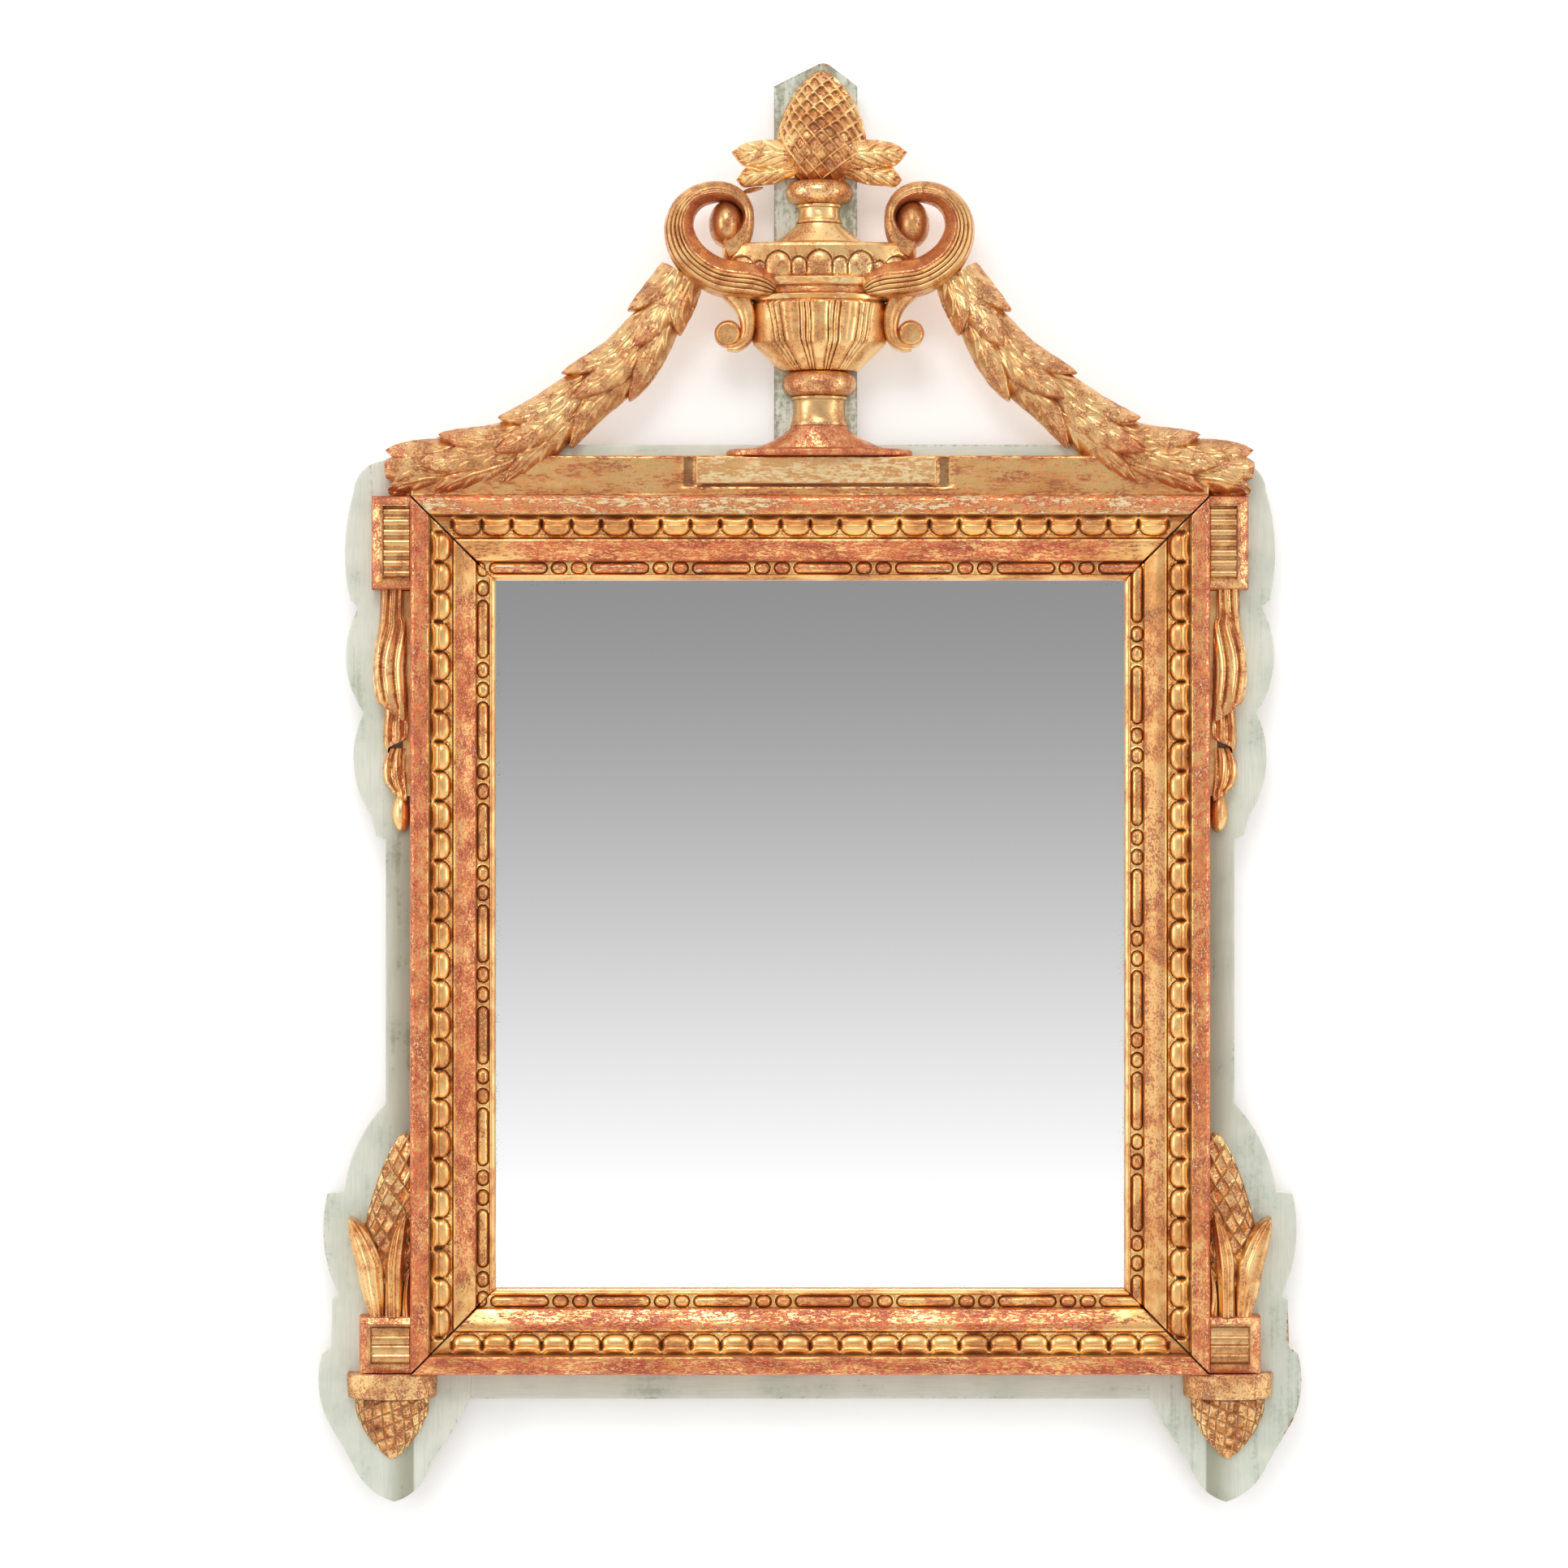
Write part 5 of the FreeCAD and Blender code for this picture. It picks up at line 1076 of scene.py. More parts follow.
def handle_section(across, share):
    """Grooves outside, a ridge, and a plain facet inside."""
    ridge_at = -0.20 - 0.30 * slope(share, 0.45, 0.8)
    outside = (across - ridge_at) / (1 - ridge_at)
    inside = (ridge_at - across) / (1 + ridge_at)
    crown = 1 - 0.24 * np.clip(outside, 0, 1) ** 2.0 - 0.18 * slope(outside, 0.86, 1.0)
    fluting = 1 - slope(share, 0.42, 0.62)
    place = np.clip(outside, 0, 0.97) / 0.97
    flutes = np.abs(np.sin(np.pi * 4.5 * place ** 0.85)) ** 0.7
    crown = crown - 0.060 * fluting * (1 - flutes) - 0.03 * (1 - fluting) * groove(outside - 0.22, 0.12)
    facet = 1 - 0.40 * np.clip(inside, 0, 1) - 0.08 * slope(inside, 0.9, 1.0)
    facet = facet - 0.03 * groove(inside - 0.08, 0.05)
    return np.where(across > ridge_at, crown, facet), np.where(across > ridge_at, 0.16 * (1 - fluting), 0.40)


# Left handle in millimetres: place, half width and relief.
HANDLE = [(-22.6, 427.2, 0.3, 26.0), (-24.6, 428.6, 7.4, 27.4), (-29.0, 431.4, 10.8, 28.2),
          (-37.6, 434.0, 12.2, 28.2), (-50.0, 435.4, 12.3, 27.6), (-60.4, 437.4, 12.0, 27.0),
          (-70.4, 442.4, 11.8, 26.4), (-79.4, 450.2, 11.4, 25.8), (-85.2, 460.4, 10.7, 25.2),
          (-87.0, 471.4, 9.6, 24.6), (-83.8, 482.0, 8.4, 24.0), (-76.6, 489.6, 7.3, 23.4),
          (-67.0, 493.4, 6.8, 22.8), (-56.8, 493.8, 6.2, 22.2), (-48.0, 490.2, 5.2, 21.6),
          (-42.4, 483.6, 4.2, 21.2), (-40.8, 476.4, 3.8, 20.6), (-42.2, 469.6, 4.8, 19.8),
          (-45.4, 463.4, 6.2, 18.8), (-50.0, 458.8, 7.4, 17.6), (-56.0, 456.0, 7.6, 16.0)]
for side in ("left", "right"):
    solids = [relief(64, 260, on_side(side, swept(HANDLE, handle_section, 0.16), URN)),
              relief(44, 44, on_side(side, half_egg(-55.4, 473.0, 12.0, 15.8, 22.6, 0.30), URN))]
    gilded("urn_handle_" + side, solids, sharp=55, depth_mm=0.55, finish=GILT_AGED)

# %% Small scrolls
SMALL_SCROLL = [(-53.6, 429.6, 7.6, 17.0), (-47.4, 423.4, 7.2, 17.0), (-43.0, 414.4, 6.0, 16.8),
                (-41.4, 404.4, 4.9, 16.4), (-43.2, 396.0, 4.2, 16.0), (-48.8, 391.0, 3.2, 15.6),
                (-55.4, 390.2, 1.8, 15.2)]


def scroll_section(across, share):
    """A ridge near the inner side and a gentle hollow beside it."""
    crown = 0.70 + 0.30 * np.sqrt(np.clip(1 - across ** 2, 0, 1)) - 0.10 * groove(across - 0.2, 0.35)
    return crown, 0.0


def disc(x, z, radius, relief_depth, rubbed=0.1):
    """Flat volute disc with a rounded rim, drawn by its level chords."""
    angles = np.linspace(-np.pi / 2, np.pi / 2, 21)
    shares = np.linspace(0, 1, len(angles))

    def shape(u, v):
        half = np.interp(v, shares, radius * np.cos(angles) + THIN)
        height = np.interp(v, shares, z + radius * np.sin(angles))
        place = (2 * u - 1) * half
        reach = np.hypot(place, height - z) / radius
        rim_round = 1 - 0.22 * np.clip((reach - 0.7) / 0.3, 0, 1) ** 2.2
        return x + place, FACE + relief_depth * rim_round + 0.3 * np.sin(place / 2.5), height, rubbed, 0.0
    return shape


for side in ("left", "right"):
    solids = [relief(30, 90, on_side(side, swept(SMALL_SCROLL, scroll_section, 0.12), URN)),
              relief(36, 36, on_side(side, disc(-54.6, 399.4, 8.9, 15.8), URN))]
    gilded("bowl_scroll_" + side, solids, sharp=50)

# %% [markdown]
# ## Leaves
#
# Every leaf here follows a curved midrib, wide in its belly and pointed at its tip. The laurel has
# slanting flutes on both halves, the sprigs at the pinecone are fronds with a few broad lobes, and
# the side cups have tall blades whose flutes run lengthwise.

# %% Leaf formula
LEAF_OUTLINE = ([0, 0.06, 0.2, 0.42, 0.62, 0.8, 0.92, 0.98, 1.0],
                [0.40, 0.62, 0.88, 1.0, 0.93, 0.68, 0.38, 0.16, 0.01])


def gouged(run, lateral, pitch, start):
    """Slanting facets, each left by one stroke of a gouge, from 0 to 1."""
    stroke = (run - 1.7 * lateral) / pitch + start
    stroke = stroke - np.floor(stroke)
    return stroke - slope(stroke, 0.68, 1.0)


def leaf_form(across, share, length, half, seed):
    """Width share, and height over the leaf's own bed in millimetres."""
    chance = np.random.default_rng(seed)
    start, pitch, strength = chance.uniform(0, 1), chance.uniform(13.5, 16.5), chance.uniform(0.85, 1.15)
    outline = np.interp(share, *LEAF_OUTLINE)
    lateral = np.abs(across) * half * outline
    facets = gouged(share * length, lateral, pitch, start + 0.2 * np.sign(across))
    deep = slope(np.abs(across), 0.05, 0.30) * slope(share, 0.0, 0.1)
    rib = groove(across, 0.10) * slope(1 - share, 0.02, 0.3)
    height = facets * 1.9 * strength * deep + rib * 1.0 - 3.2 * np.abs(across) ** 3
    return outline, height


def leaf(spine, half, low, high, seed, rubbed=0.22):
    """Leaf along a spine of x, z rows, whose bed climbs from low to high."""
    length = float(np.hypot(*np.diff(np.array(spine), axis=0).T).sum())

    def shape(u, v):
        across = 2 * u - 1
        here, way_x, way_z = line_at(spine, v, 0.01)
        outline, height = leaf_form(across, v, length, half, seed)
        x = here[:, 0] + way_x * across * half * outline
        z = here[:, 1] + way_z * across * half * outline
        depth = FACE + low + (high - low) * slope(v, 0.0, 0.7) + height
        return x, depth, z, rubbed + 0.12 * (height < 0.2), 0.0
    return shape


def between_edges(lower, upper, u, v):
    """Places u across and v along two edges, the one edge there, and the steps to the other."""
    one = smooth_line(lower, v)
    gap = smooth_line(upper, v) - one
    return one[:, 0] + gap[:, 0] * u, one[:, 1] + gap[:, 1] * u, one, gap


def frond(lower, upper, crest, seed, rubbed=0.22):
    """Short leaf between two edges, from its root to its tip, with gouged halves."""
    chance = np.random.default_rng(seed)
    start, pitch = chance.uniform(0, 1), chance.uniform(8.0, 9.4)

    def shape(u, v):
        x, z, one, gap = between_edges(lower, upper, u, v)
        wide = np.hypot(gap[:, 0], gap[:, 1])
        run = np.hypot(x - one[0, 0], z - one[0, 1])
        across = 2 * u - 1
        facets = gouged(run, np.abs(across) * wide / 2, pitch, start + 0.3 * np.sign(across))
        height = facets * 2.2 * slope(np.abs(across), 0.04, 0.3)
        height = height + 1.0 * groove(across, 0.12) - 2.4 * np.abs(across) ** 3
        return x, FACE + crest + height, z, rubbed + 0.1 * (facets < 0.2), 0.0
    return shape


def blade(outer, inner, crest, flutes, seed, rubbed=0.16):
    """Tall leaf between two edges, from its root to its tip, with channels that run with it."""
    bend, start = np.random.default_rng(seed).uniform(-0.5, 0.5, 2)

    def shape(u, v):
        x, z, _, _ = between_edges(outer, inner, u, v)
        arris = np.cos(2 * np.pi * (flutes * u + 0.2 * np.sin(3 * v + bend) + start)) ** 2
        round_over = np.sqrt(np.clip(1 - (2 * u - 1) ** 2, 0, 1))
        depth = crest * (0.66 + 0.34 * round_over) + 1.7 * arris * round_over * slope(1 - v, 0, 0.25)
        depth = depth * (0.86 + 0.14 * slope(v, 0.0, 0.5))
        return x, FACE + depth, z, rubbed + 0.15 * (arris < 0.3), 0.0
    return shape

# %% Sprigs and cups
# Lower and upper edge of the two leaves beside the cone, from the root to the tip.
SPRIG_HIGH = ([(-12.0, 509.0), (-24.0, 509.4), (-35.0, 510.6), (-44.8, 512.3), (-52.2, 520.2)],
              [(-12.0, 527.4), (-24.8, 528.5), (-34.0, 527.9), (-44.0, 525.8), (-52.2, 520.2)])
SPRIG_LOW = ([(-10.0, 503.6), (-15.5, 502.8), (-24.8, 499.7), (-36.0, 498.6), (-44.3, 497.9), (-48.9, 502.0)],
             [(-10.0, 513.0), (-20.0, 513.6), (-32.0, 513.0), (-41.0, 511.0), (-45.2, 507.6), (-48.9, 502.0)])
SPLINTER = [(-45.0, 494.6), (-41.0, 495.4), (-36.4, 496.4), (-31.0, 497.6)]
CUP_FOOT, CUP_FORK = (-282.6, -253.4), (-282.4, -217.4)
CUP_OUTER = ([(-293.0, -253.4), (-297.9, -237.1), (-301.1, -221.0), (-304.2, -208.5), (-306.6, -196.0),
              (-306.0, -187.4)],
             [CUP_FOOT, (-282.3, -240.0), (-282.2, -228.0), CUP_FORK, (-285.0, -211.2), (-289.4, -202.2),
              (-295.7, -194.1), (-301.1, -189.7), (-306.0, -187.4)])
CUP_INNER = ([CUP_FOOT, (-282.3, -240.0), (-282.2, -228.0), CUP_FORK, (-281.0, -209.4), (-279.6, -204.9),
              (-276.9, -196.8), (-272.0, -189.7), (-268.0, -185.2)],
             [(-271.4, -253.4), (-270.9, -245.0), (-269.8, -229.1), (-268.4, -211.2), (-267.1, -195.0),
              (-267.0, -188.0), (-268.0, -185.2)])
CUP_BESIDE = ([(-271.6, -253.4), (-270.8, -243.0), (-269.4, -231.0), (-265.9, -221.0)],
              [(-265.3, -253.4), (-265.3, -243.0), (-265.3, -231.0), (-265.3, -221.0)])
for side in ("left", "right"):
    chance = 10 if side == "left" else 40
    solids = [relief(50, 70, on_side(side, frond(*SPRIG_LOW, 8.6, chance), URN)),
              relief(50, 70, on_side(side, frond(*SPRIG_HIGH, 11.0, chance + 2), URN))]
    if side == "left":
        solids.append(relief(12, 24, leaf(SPLINTER, 1.7, 3.0, 5.0, chance + 3, 0.3)))
    gilded("cone_leaves_" + side, solids, sharp=55, depth_mm=0.5)
    recess = cushion(-269.6, -FRAME_SIDE - 0.1, -252.0, -190.0, FACE + 5.0, 0.8, (0.1, 0.0))
    solids = [relief(10, 40, on_side(side, recess)),
              relief(30, 60, on_side(side, blade(*CUP_BESIDE, 17.0, 0.8, chance + 4))),
              relief(48, 110, on_side(side, blade(*CUP_OUTER, 19.0, 1.6, chance + 5))),
              relief(48, 110, on_side(side, blade(*CUP_INNER, 21.0, 1.7, chance + 6)))]
    gilded("side_leaves_" + side, solids, sharp=60, depth_mm=1.0)

# %% [markdown]
# ## Garlands
#
# Two laurel garlands run from the handles to the shoulders. The wood under the leaves is a half
# round swept along the line. Over it lie three ranks of large leaves, and each tip stands up over
# the roots of the next. A leaf is placed by how far along the garland its tip comes and which rank
# it is in, so it bends with the line.

# %% Garland line
GARLAND_LINE = [(-84.0, 439.0, 15.4), (-98.0, 416.6, 17.2), (-121.8, 381.5, 20.0), (-151.5, 358.3, 19.6),
                (-175.8, 338.3, 20.6), (-203.9, 321.6, 20.8), (-233.6, 314.4, 20.4), (-259.5, 310.4, 17.4),
                (-281.6, 308.0, 13.2)]
garland_shares = np.linspace(0, 1, 400)
garland_steps = np.diff(smooth_line(GARLAND_LINE, garland_shares)[:, :2], axis=0)
garland_run = np.concatenate([[0], np.cumsum(np.hypot(garland_steps[:, 0], garland_steps[:, 1]))])
GARLAND_LENGTH = float(garland_run[-1])
print("garland length", round(GARLAND_LENGTH, 1))


def on_garland(run, lateral):
    """Place of a point by its run along the line and its distance to the upper side, and half width."""
    share = np.interp(run, garland_run, garland_shares)
    here, way_x, way_z = line_at(GARLAND_LINE, share, 0.01)
    return here[:, 0] - way_x * lateral, here[:, 1] - way_z * lateral, here[:, 2]


def round_of(lateral, half):
    return np.sqrt(np.clip(1 - 0.80 * (lateral / half) ** 2, 0.04, 1))


def garland_leaf(tip, length, root_side, tip_side, half_leaf, lift, seed):
    """Laurel leaf on the garland. Sides are shares of the garland's half width, upper side positive."""
    worn = np.random.default_rng(seed + 500).uniform(0.24, 0.40)

    def shape(u, v):
        across = 2 * u - 1
        outline, height = leaf_form(across, v, length, half_leaf, seed)
        run = np.clip(tip - length * (1 - v), 0.0, GARLAND_LENGTH)
        half = np.interp(run, garland_run, smooth_line(GARLAND_LINE, garland_shares)[:, 2])
        lateral = half * (root_side + (tip_side - root_side) * v ** 3.2) + across * half_leaf * outline
        x, z, half = on_garland(run, lateral)
        crown = 15.5 * round_of(np.clip(lateral, -half, half), half)
        bed = crown + lift * slope(v, 0.10, 0.9) - 1.4
        depth = FACE + np.clip(bed + height, 3.0, 23.8)
        return x, depth, z, worn + 0.2 * slope(v, 0.5, 0.9), 0.0
    return shape


CORE_SHARES = [0, 0.1, 0.9, 1]


def garland_core(u, v):
    """The wood under the leaves, which tapers at both ends."""
    lateral_share = (2 * u - 1) * 0.86
    run = 14 + v * (GARLAND_LENGTH - 44)
    x, z, _ = on_garland(run, lateral_share * np.interp(v, CORE_SHARES, [9, 15, 16, 10]))
    height = 12.0 * round_of(lateral_share, 1.0) * np.interp(v, CORE_SHARES, [0.6, 1, 1, 0.6])
    return x, FACE + height, z, 0.2, 0.0


# %% Garland leaves
# Run of a leaf's tip, and its length, in three ranks. A rank then has the sides of its roots and
# tips, its leaf's half width, how far it is lifted, and its first seed.
UPPER_TIPS = [(40, 62), (108, 76), (164, 72), (212, 66), (249, 50)]
MIDDLE_TIPS = [(58, 60), (112, 74), (176, 76), (226, 70), (256, 46)]
LOWER_TIPS = [(36, 40), (84, 66), (134, 72), (180, 66), (222, 60), (251, 44)]
RANKS = ((LOWER_TIPS, -0.44, -1.04, 10.0, 5.0, 0), (UPPER_TIPS, 0.44, 1.04, 10.0, 5.0, 20),
         (MIDDLE_TIPS, 0.0, 0.04, 10.6, 7.6, 40))
for side in ("left", "right"):
    chance = 100 if side == "left" else 200
    solids = [relief(30, 120, on_side(side, garland_core, URN))]
    for tips, root_side, tip_side, half_leaf, lift, draw in RANKS:
        for index, (tip, length) in enumerate(reversed(tips)):
            laurel = garland_leaf(tip, length, root_side, tip_side, half_leaf, lift, chance + draw + index)
            solids.append(relief(40, 84, on_side(side, laurel, URN)))
    gilded("garland_" + side, solids, sharp=60, depth_mm=0.7, finish=GILT_AGED)

# %% [markdown]
# ## Drapery drops
#
# A narrow cloth hangs beside the frame in three tiers and ends in a drop. Each tier is a sheet
# between two edges and a slanting hem, with long flutes that fan a little, and each is tucked under
# the hem of the one above. A plain gilded strip fills the corner against the moulding.

# %% Drapery
# Outer edge, inner edge, how far the hem drops across, crest and flutes.
TIERS = [
    ([(-285.6, 229.4), (-286.5, 206.8), (-289.4, 187.8), (-290.2, 171.0), (-288.0, 156.0), (-284.4, 152.0)],
     [(-270.7, 229.4), (-270.6, 212.0), (-268.6, 204.6), (-268.2, 177.0), (-267.8, 143.0)],
     [0.0, 2.6, 6.0, 9.4, 10.2], 15.4, 2.6),
    ([(-284.0, 160.0), (-283.2, 147.0), (-283.8, 127.6), (-281.0, 121.0)],
     [(-267.6, 152.0), (-267.4, 140.0), (-268.0, 132.0), (-269.6, 128.6)],
     [0.0, -3.6, -5.4, -7.0, -8.4], 12.0, 2.0),
    ([(-280.4, 124.0), (-283.8, 115.6), (-284.3, 108.0), (-282.6, 100.4), (-278.4, 95.2)],
     [(-269.0, 130.0), (-269.4, 112.0), (-268.4, 101.0), (-268.0, 88.6)],
     [0.0, 2.2, 3.6, 5.6, 6.6], 10.2, 2.2),
]


def edge_at(points, heights):
    """Where a smooth edge that runs downwards is at some heights."""
    line = smooth_line(points, np.linspace(1, 0, 100))
    return np.interp(heights, line[:, 1], line[:, 0])


def tier(outer, inner, hem, crest, flutes, seed):
    """One fluted sheet between its edges, whose folds grow calm at the hem."""
    wander = np.random.default_rng(seed).uniform(-0.4, 0.4, 3)

    def shape(u, v):
        drop = np.interp(u, [0, 0.25, 0.5, 0.8, 1], hem)
        z = outer[0][1] + (outer[-1][1] - drop - outer[0][1]) * v
        start, end = edge_at(outer, z), edge_at(inner, z)
        x = start + (end - start) * u
        warp = u + 0.14 * v + 0.05 * np.sin(v * 4 + wander[0] * 6) + 0.03 * np.sin(v * 9 + wander[1] * 9)
        fold = np.abs(np.sin(np.pi * flutes * warp)) ** 0.75
        fine = 0.5 + 0.5 * np.cos(2 * np.pi * warp * flutes * 3.1 + 2 * np.sin(v * 5 + wander[2] * 5))
        edge = 1 - 0.36 * (1 - slope(u, 0, 0.16)) - 0.12 * slope(u, 0.9, 1.0)
        calm = 1 - 0.6 * slope(v, 0.88, 0.98)
        depth = crest * edge * (0.76 + 0.24 * v ** 1.4) + (2.6 * fold + 0.5 * fine - 1.9) * calm
        return x, FACE + np.clip(depth, 1.0, 15.4), z, 0.24 + 0.26 * (fold < 0.7), 0.0
    return shape


for side in ("left", "right"):
    strip = cushion(-271.5, -FRAME_SIDE - 0.1, 92.0, 229.2, FACE + 4.5, 0.8, (0.0, 0.0))
    solids = [relief(12, 60, on_side(side, strip))]
    for index, (outer, inner, hem, crest, flutes) in reversed(list(enumerate(TIERS))):
        solids.append(relief(70, 120, on_side(side, tier(outer, inner, hem, crest, flutes, 60 + index))))
    solids.append(relief(40, 44, on_side(side, half_egg(-272.2, 81.2, 6.6, 13.2, 11.4, 0.05))))
    gilded("drapery_drop_" + side, solids, sharp=60, depth_mm=0.5)

# %% [markdown]
# ## Painted boards
#
# The boards keep the outline of the measured model, so each is a copy of its node: its triangles
# are merged and dissolved to plain faces, the arrises are bevelled as a few strokes of a plane and
# two centuries would leave them, and the front is inset, which gives the paint finish a narrow ring
# to chip. The sides chip less towards the wall, and the backs are bare pine, with the grain
# along each board.

# %% Boards
MERGE, ARRIS, CHIP_RING, EDGE_NEAR = 0.02 * MM, 0.9 * MM, 2.2 * MM, 2.5 * MM
SMALL_FACE = 2e-5


def sawn(node, finish, back=PINE):
    """A painted board from its node, with bare wood behind."""
    board = bmesh.new()
    board.from_mesh(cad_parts[node].data)
    bmesh.ops.remove_doubles(board, verts=board.verts, dist=MERGE)
    bmesh.ops.dissolve_limit(board, angle_limit=math.radians(1.5), verts=board.verts, edges=board.edges)
    shared = [edge for edge in board.edges if len(edge.link_faces) == 2]
    sharp = [edge for edge in shared if edge.calc_face_angle() > math.radians(50)]
    bmesh.ops.bevel(board, geom=sharp, offset=ARRIS, offset_type="OFFSET", affect="EDGES", segments=2,
                    profile=0.5, material=-1, clamp_overlap=True)
    arris = board.verts.layers.float.new("arris")
    face_y = min(vert.co.y for vert in board.verts)
    for vert in board.verts:
        vert[arris] = 0.8 if vert.co.y < face_y + EDGE_NEAR else 0.3
    front = [face for face in board.faces if face.normal.y < -0.99 and face.calc_area() > SMALL_FACE]
    bmesh.ops.inset_region(board, faces=front, thickness=CHIP_RING, use_even_offset=True, use_boundary=True)
    for face in front:
        for vert in face.verts:
            vert[arris] = 0.0
    for face in board.faces:
        face.material_index = 1 if face.normal.y > 0.9 else 0
    bmesh.ops.recalc_face_normals(board, faces=board.faces)
    mesh = as_mesh(node, board)
    mesh.shade_smooth()
    mesh.set_sharp_from_angle(angle=math.radians(28))
    hang(node + "_board", node, mesh, finish)
    mesh.materials.append(back)


for node in ("ground_stile_left", "ground_stile_right"):
    sawn(node, PAINT_UPRIGHT)
sawn("crest_post", PAINT_WORN)
for node in ("ground_rail_top", "ground_rail_bottom"):
    sawn(node, PAINT_LEVEL, PINE_LEVEL)

# %% [markdown]
# ## Glass, planks and hanging gear
#
# These nodes already have their real shape from the measured model, so they stay and only get their
# finishes.

# %% Finishes on kept nodes
KEPT = [(MIRROR, ["mirror_plate"]), (SCREW_STEEL, ["hanger_screws"]),
        (IRON, ["back_board_nails", "post_nails"]),
        (PINE, ["glazing_blocks", "back_plank_left", "back_plank_centre", "back_plank_right"]),
        (STEEL, ["hanger_strap_left", "hanger_strap_right", "d_ring_left", "d_ring_right"])]
for finish, nodes in KEPT:
    for node in nodes:
        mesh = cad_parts[node].data
        mesh.materials.clear()
        mesh.materials.append(finish)
print("kept nodes", sum(len(nodes) for _, nodes in KEPT))

# %% [markdown]
# ## Wall, floor and the sky in the glass
#
# The mirror hangs on a white wall over a pale floor. Both let the view and the lamps through from
# behind, so the back can be looked at too. What a mirror shows is as important as the mirror: a
# card far behind the camera, seen only by reflections, fades from grey above to white below. The
# world is one pale room for every kind of ray, so the gilding shows what the camera sees.

# %% Stage
WHITE = (1.0, 1.0, 1.0, 1.0)


def one_sided(name, colour, glow):
    """White sheet seen from the front alone, whose glow metal and glass show as the camera does."""
    recipe = material(name)
    behind = recipe.add("ShaderNodeNewGeometry", {}, {}, out="Backfacing")
    shadow = recipe.add("ShaderNodeLightPath", {}, {}, out="Is Shadow Ray")
    camera, glossy, through = (recipe.add("ShaderNodeLightPath", {}, {}, out=kind) for kind in
                               ("Is Camera Ray", "Is Glossy Ray", "Is Transmission Ray"))
    seen = recipe.maths("MAXIMUM", camera, recipe.maths("MAXIMUM", glossy, through))
    hidden = recipe.maths("MAXIMUM", behind, shadow)
    matt = recipe.add("ShaderNodeBsdfDiffuse", {}, {"Color": colour})
    light = recipe.add("ShaderNodeEmission", {}, {"Color": WHITE, "Strength": seen * glow})
    lit = recipe.add("ShaderNodeAddShader", {}, {0: matt, 1: light})
    clear = recipe.add("ShaderNodeBsdfTransparent", {}, {})
    return recipe.end(recipe.add("ShaderNodeMixShader", {}, {0: hidden, 1: lit, 2: clear}))


def sheet(name, size, place, turn, finish):
    """Flat stage sheet that starts as a grid facing up and is turned by an angle in degrees."""
    flat = bmesh.new()
    bmesh.ops.create_grid(flat, x_segments=1, y_segments=1, size=0.5)
    bmesh.ops.scale(flat, vec=(size[0], size[1], 1), verts=flat.verts)
    cosine, sine = math.cos(math.radians(turn)), math.sin(math.radians(turn))
    for vert in flat.verts:
        vert.co = (vert.co.x + place[0], vert.co.y * cosine + place[1], vert.co.y * sine + place[2])
    mesh = as_mesh(name, flat)
    mesh.materials.append(finish)
    stage_piece = bpy.data.objects.new(name, mesh)
    bpy.context.scene.collection.objects.link(stage_piece)
    return stage_piece


WALL = one_sided("white_wall", tone(238, 238, 238), 0.23)
FLOOR = one_sided("pale_floor", tone(228, 227, 224), 0.1)
sheet("wall", (14.0, 8.0), (0.0, 0.002, 2.6), 90, WALL)
sheet("floor", (14.0, 14.0), (0.0, -5.0, -1.35), 0, FLOOR)

# %% Card behind the camera
# Heights in metres between which the card fades, how fast, and its glow at the foot.
CARD_LOW, CARD_HIGH, CARD_POWER, CARD_GLOW = -0.64, 0.44, 1.45, 1.08


def fading_card():
    """Glowing card, white at its foot and grey at its head."""
    recipe = material("fading_card")
    height = recipe.axis(recipe.add("ShaderNodeTexCoord", {}, {}, out="Object"), 2)
    share = recipe.add("ShaderNodeMapRange", {}, {0: height, 1: CARD_LOW, 2: CARD_HIGH, 3: 1.0, 4: 0.0})
    stops = recipe.maths("POWER", share, CARD_POWER)
    shade = recipe.blend(stops, tone(148, 148, 148), (CARD_GLOW, CARD_GLOW, CARD_GLOW, 1.0))
    return recipe.end(recipe.add("ShaderNodeEmission", {}, {"Color": shade, "Strength": 1.0}))


card = sheet("fading_card", (1.9, 2.4), (0.0, -5.0, -0.15), -90, fading_card())
card.visible_camera = False
card.visible_diffuse = False
card.visible_shadow = False

# %% [markdown]
# ## Light and camera
#
# A wide soft lamp above and in front throws the short shadows under the carvings, and two upright
# ones at the sides draw the bright lines on the turned work. A lamp behind is for the back. The
# camera looks straight at the wall from a little over three metres, as in the photograph.

# %% Lamps
def soft_lamp(name, place, target, size, power):
    lamp = bpy.data.lights.new(name, "AREA")
    lamp.shape = "RECTANGLE"
    lamp.size, lamp.size_y = size
    lamp.energy = power
    stand = bpy.data.objects.new(name, lamp)
    stand.location = place
    direction = [goal - start for goal, start in zip(target, place)]
    flat = math.hypot(direction[0], direction[1])
    turn = math.atan2(direction[1], direction[0]) - math.pi / 2
    stand.rotation_euler = (math.atan2(flat, -direction[2]), 0.0, turn)
    bpy.context.scene.collection.objects.link(stand)


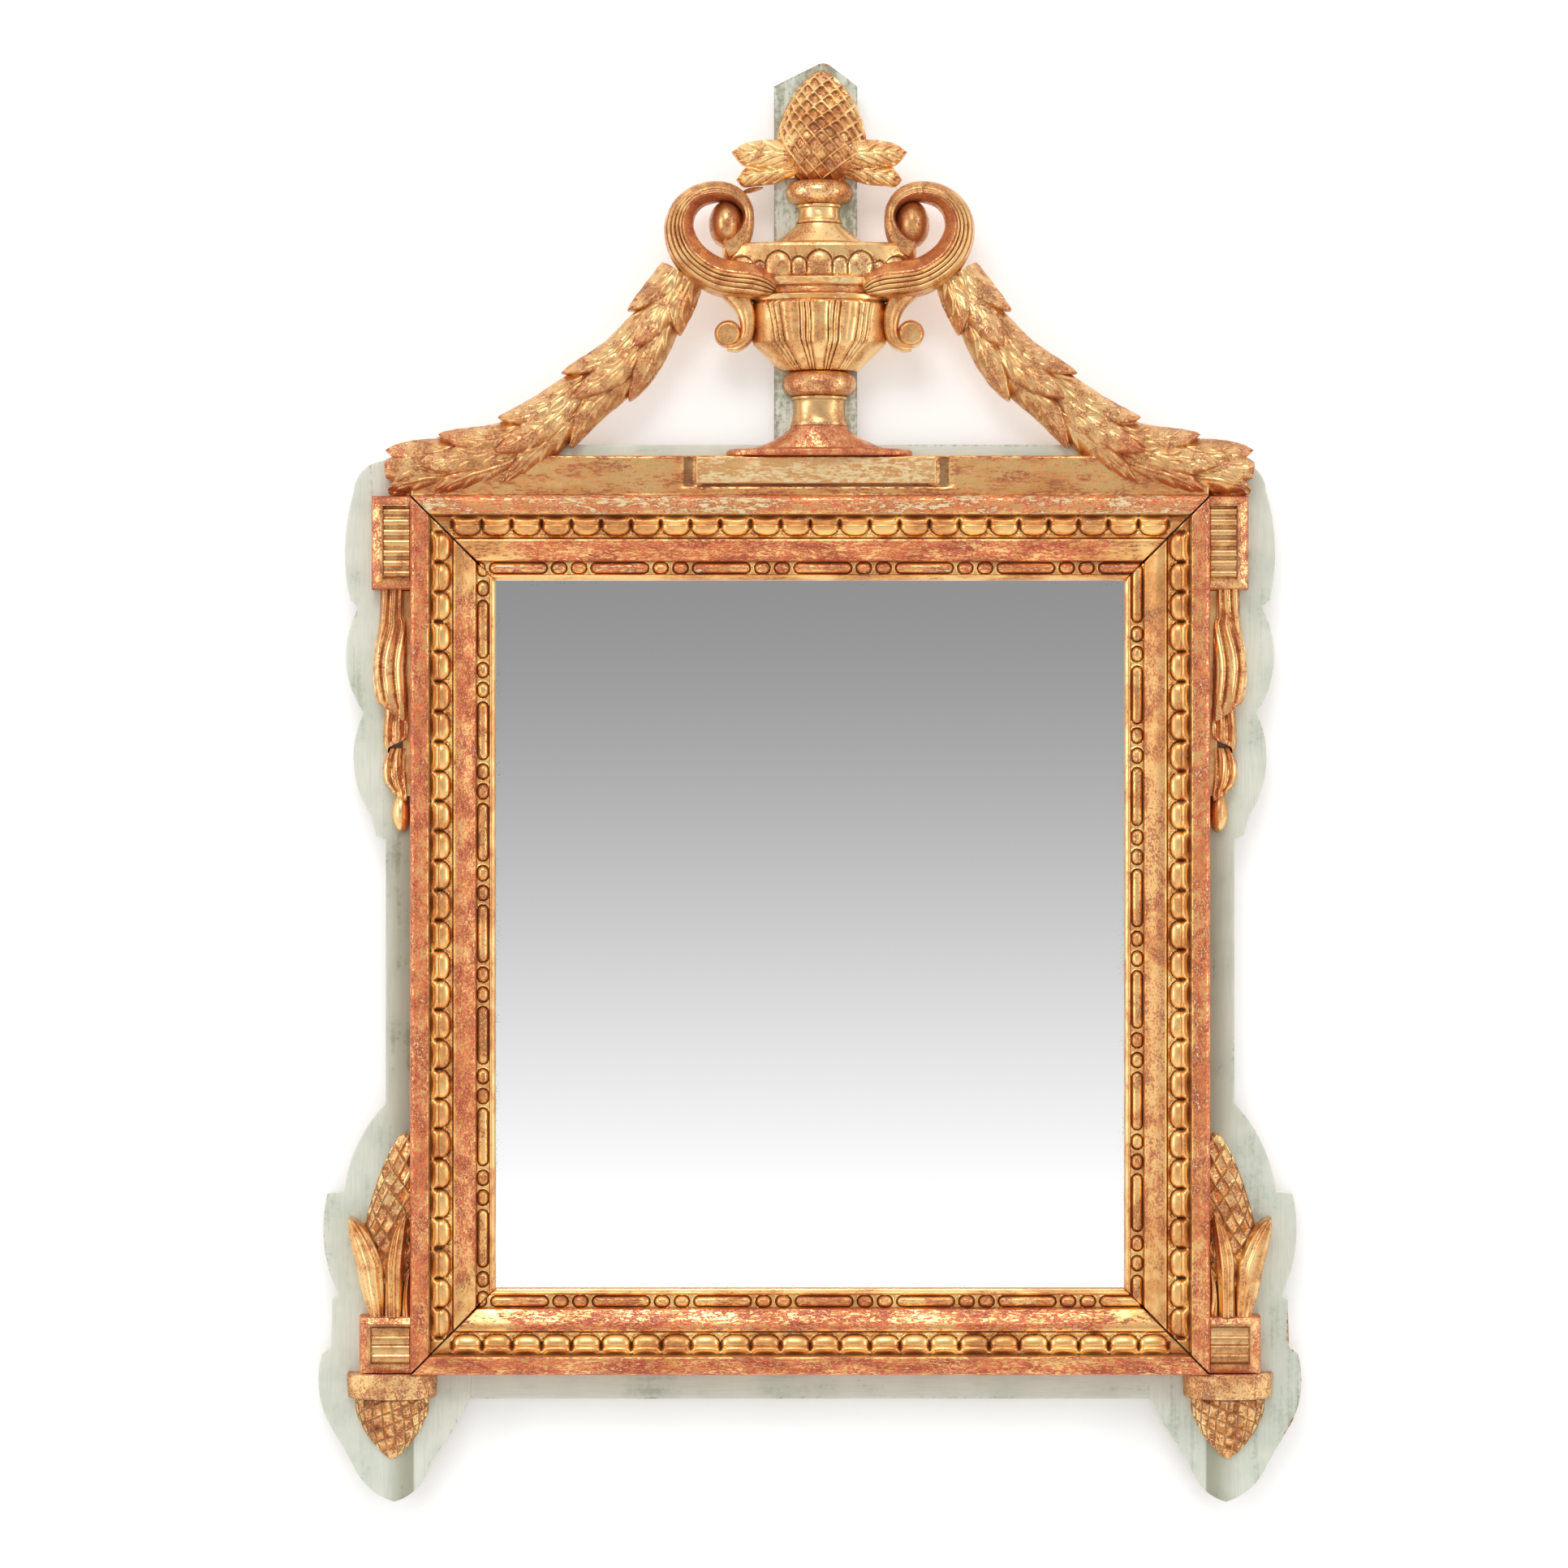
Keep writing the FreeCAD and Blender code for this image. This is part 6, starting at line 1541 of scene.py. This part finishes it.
MIDDLE = (0.0, 0.0, 0.1)
soft_lamp("lamp_above", (-0.35, -2.5, 2.1), MIDDLE, (1.4, 0.9), 24.0)
soft_lamp("lamp_left", (-1.9, -1.05, 0.35), MIDDLE, (0.4, 1.5), 8.5)
soft_lamp("lamp_right", (1.9, -1.05, 0.35), MIDDLE, (0.4, 1.5), 7.0)
soft_lamp("lamp_back", (0.8, 2.2, 1.5), MIDDLE, (1.6, 1.2), 38.0)

# %% World
AHEAD, AROUND = 0.60, 1.0


def away(recipe, way, index, low, high):
    """0 where one part of a direction is under low either way, 1 where it is over high."""
    size = recipe.maths("ABSOLUTE", recipe.axis(way, index))
    return recipe.add("ShaderNodeMapRange", {}, {0: size, 1: low, 2: high})


def pale_room(recipe):
    """Dimmer ahead and behind, and white to the sides, above and below."""
    way = recipe.add("ShaderNodeTexCoord", {}, {}, out="Generated")
    around = recipe.maths("MAXIMUM", away(recipe, way, 2, 0.30, 0.80), away(recipe, way, 0, 0.40, 0.90))
    dim, bright = (recipe.add("ShaderNodeBackground", {}, {"Color": WHITE, "Strength": strength})
                   for strength in (AHEAD, AROUND))
    room = recipe.add("ShaderNodeMixShader", {}, {0: around, 1: dim, 2: bright})
    return recipe.end(room, "ShaderNodeOutputWorld")


bpy.context.scene.world = pale_room(Recipe(bpy.data.worlds.new("studio")))

# %% Camera
# Width of the view in metres where the front of the mirror is, how far that is from the camera and
# from the wall, and the place across and up that the camera looks at.
VIEW_WIDTH, DISTANCE, FRONT = 1.0433, 3.2, 0.03
AIM_ACROSS, AIM_UP = -0.0173, 0.1002
camera = bpy.data.cameras.new("camera")
camera.sensor_width = 36.0
camera.lens = camera.sensor_width * DISTANCE / VIEW_WIDTH
viewer = bpy.data.objects.new("camera", camera)
viewer.location = (AIM_ACROSS, -DISTANCE - FRONT, AIM_UP)
viewer.rotation_euler = (math.radians(90), 0.0, 0.0)
bpy.context.scene.collection.objects.link(viewer)
bpy.context.scene.camera = viewer
bpy.context.scene.view_settings.view_transform = "Standard"
print("lens", round(camera.lens, 1))

# %% Update
bpy.context.view_layer.update()
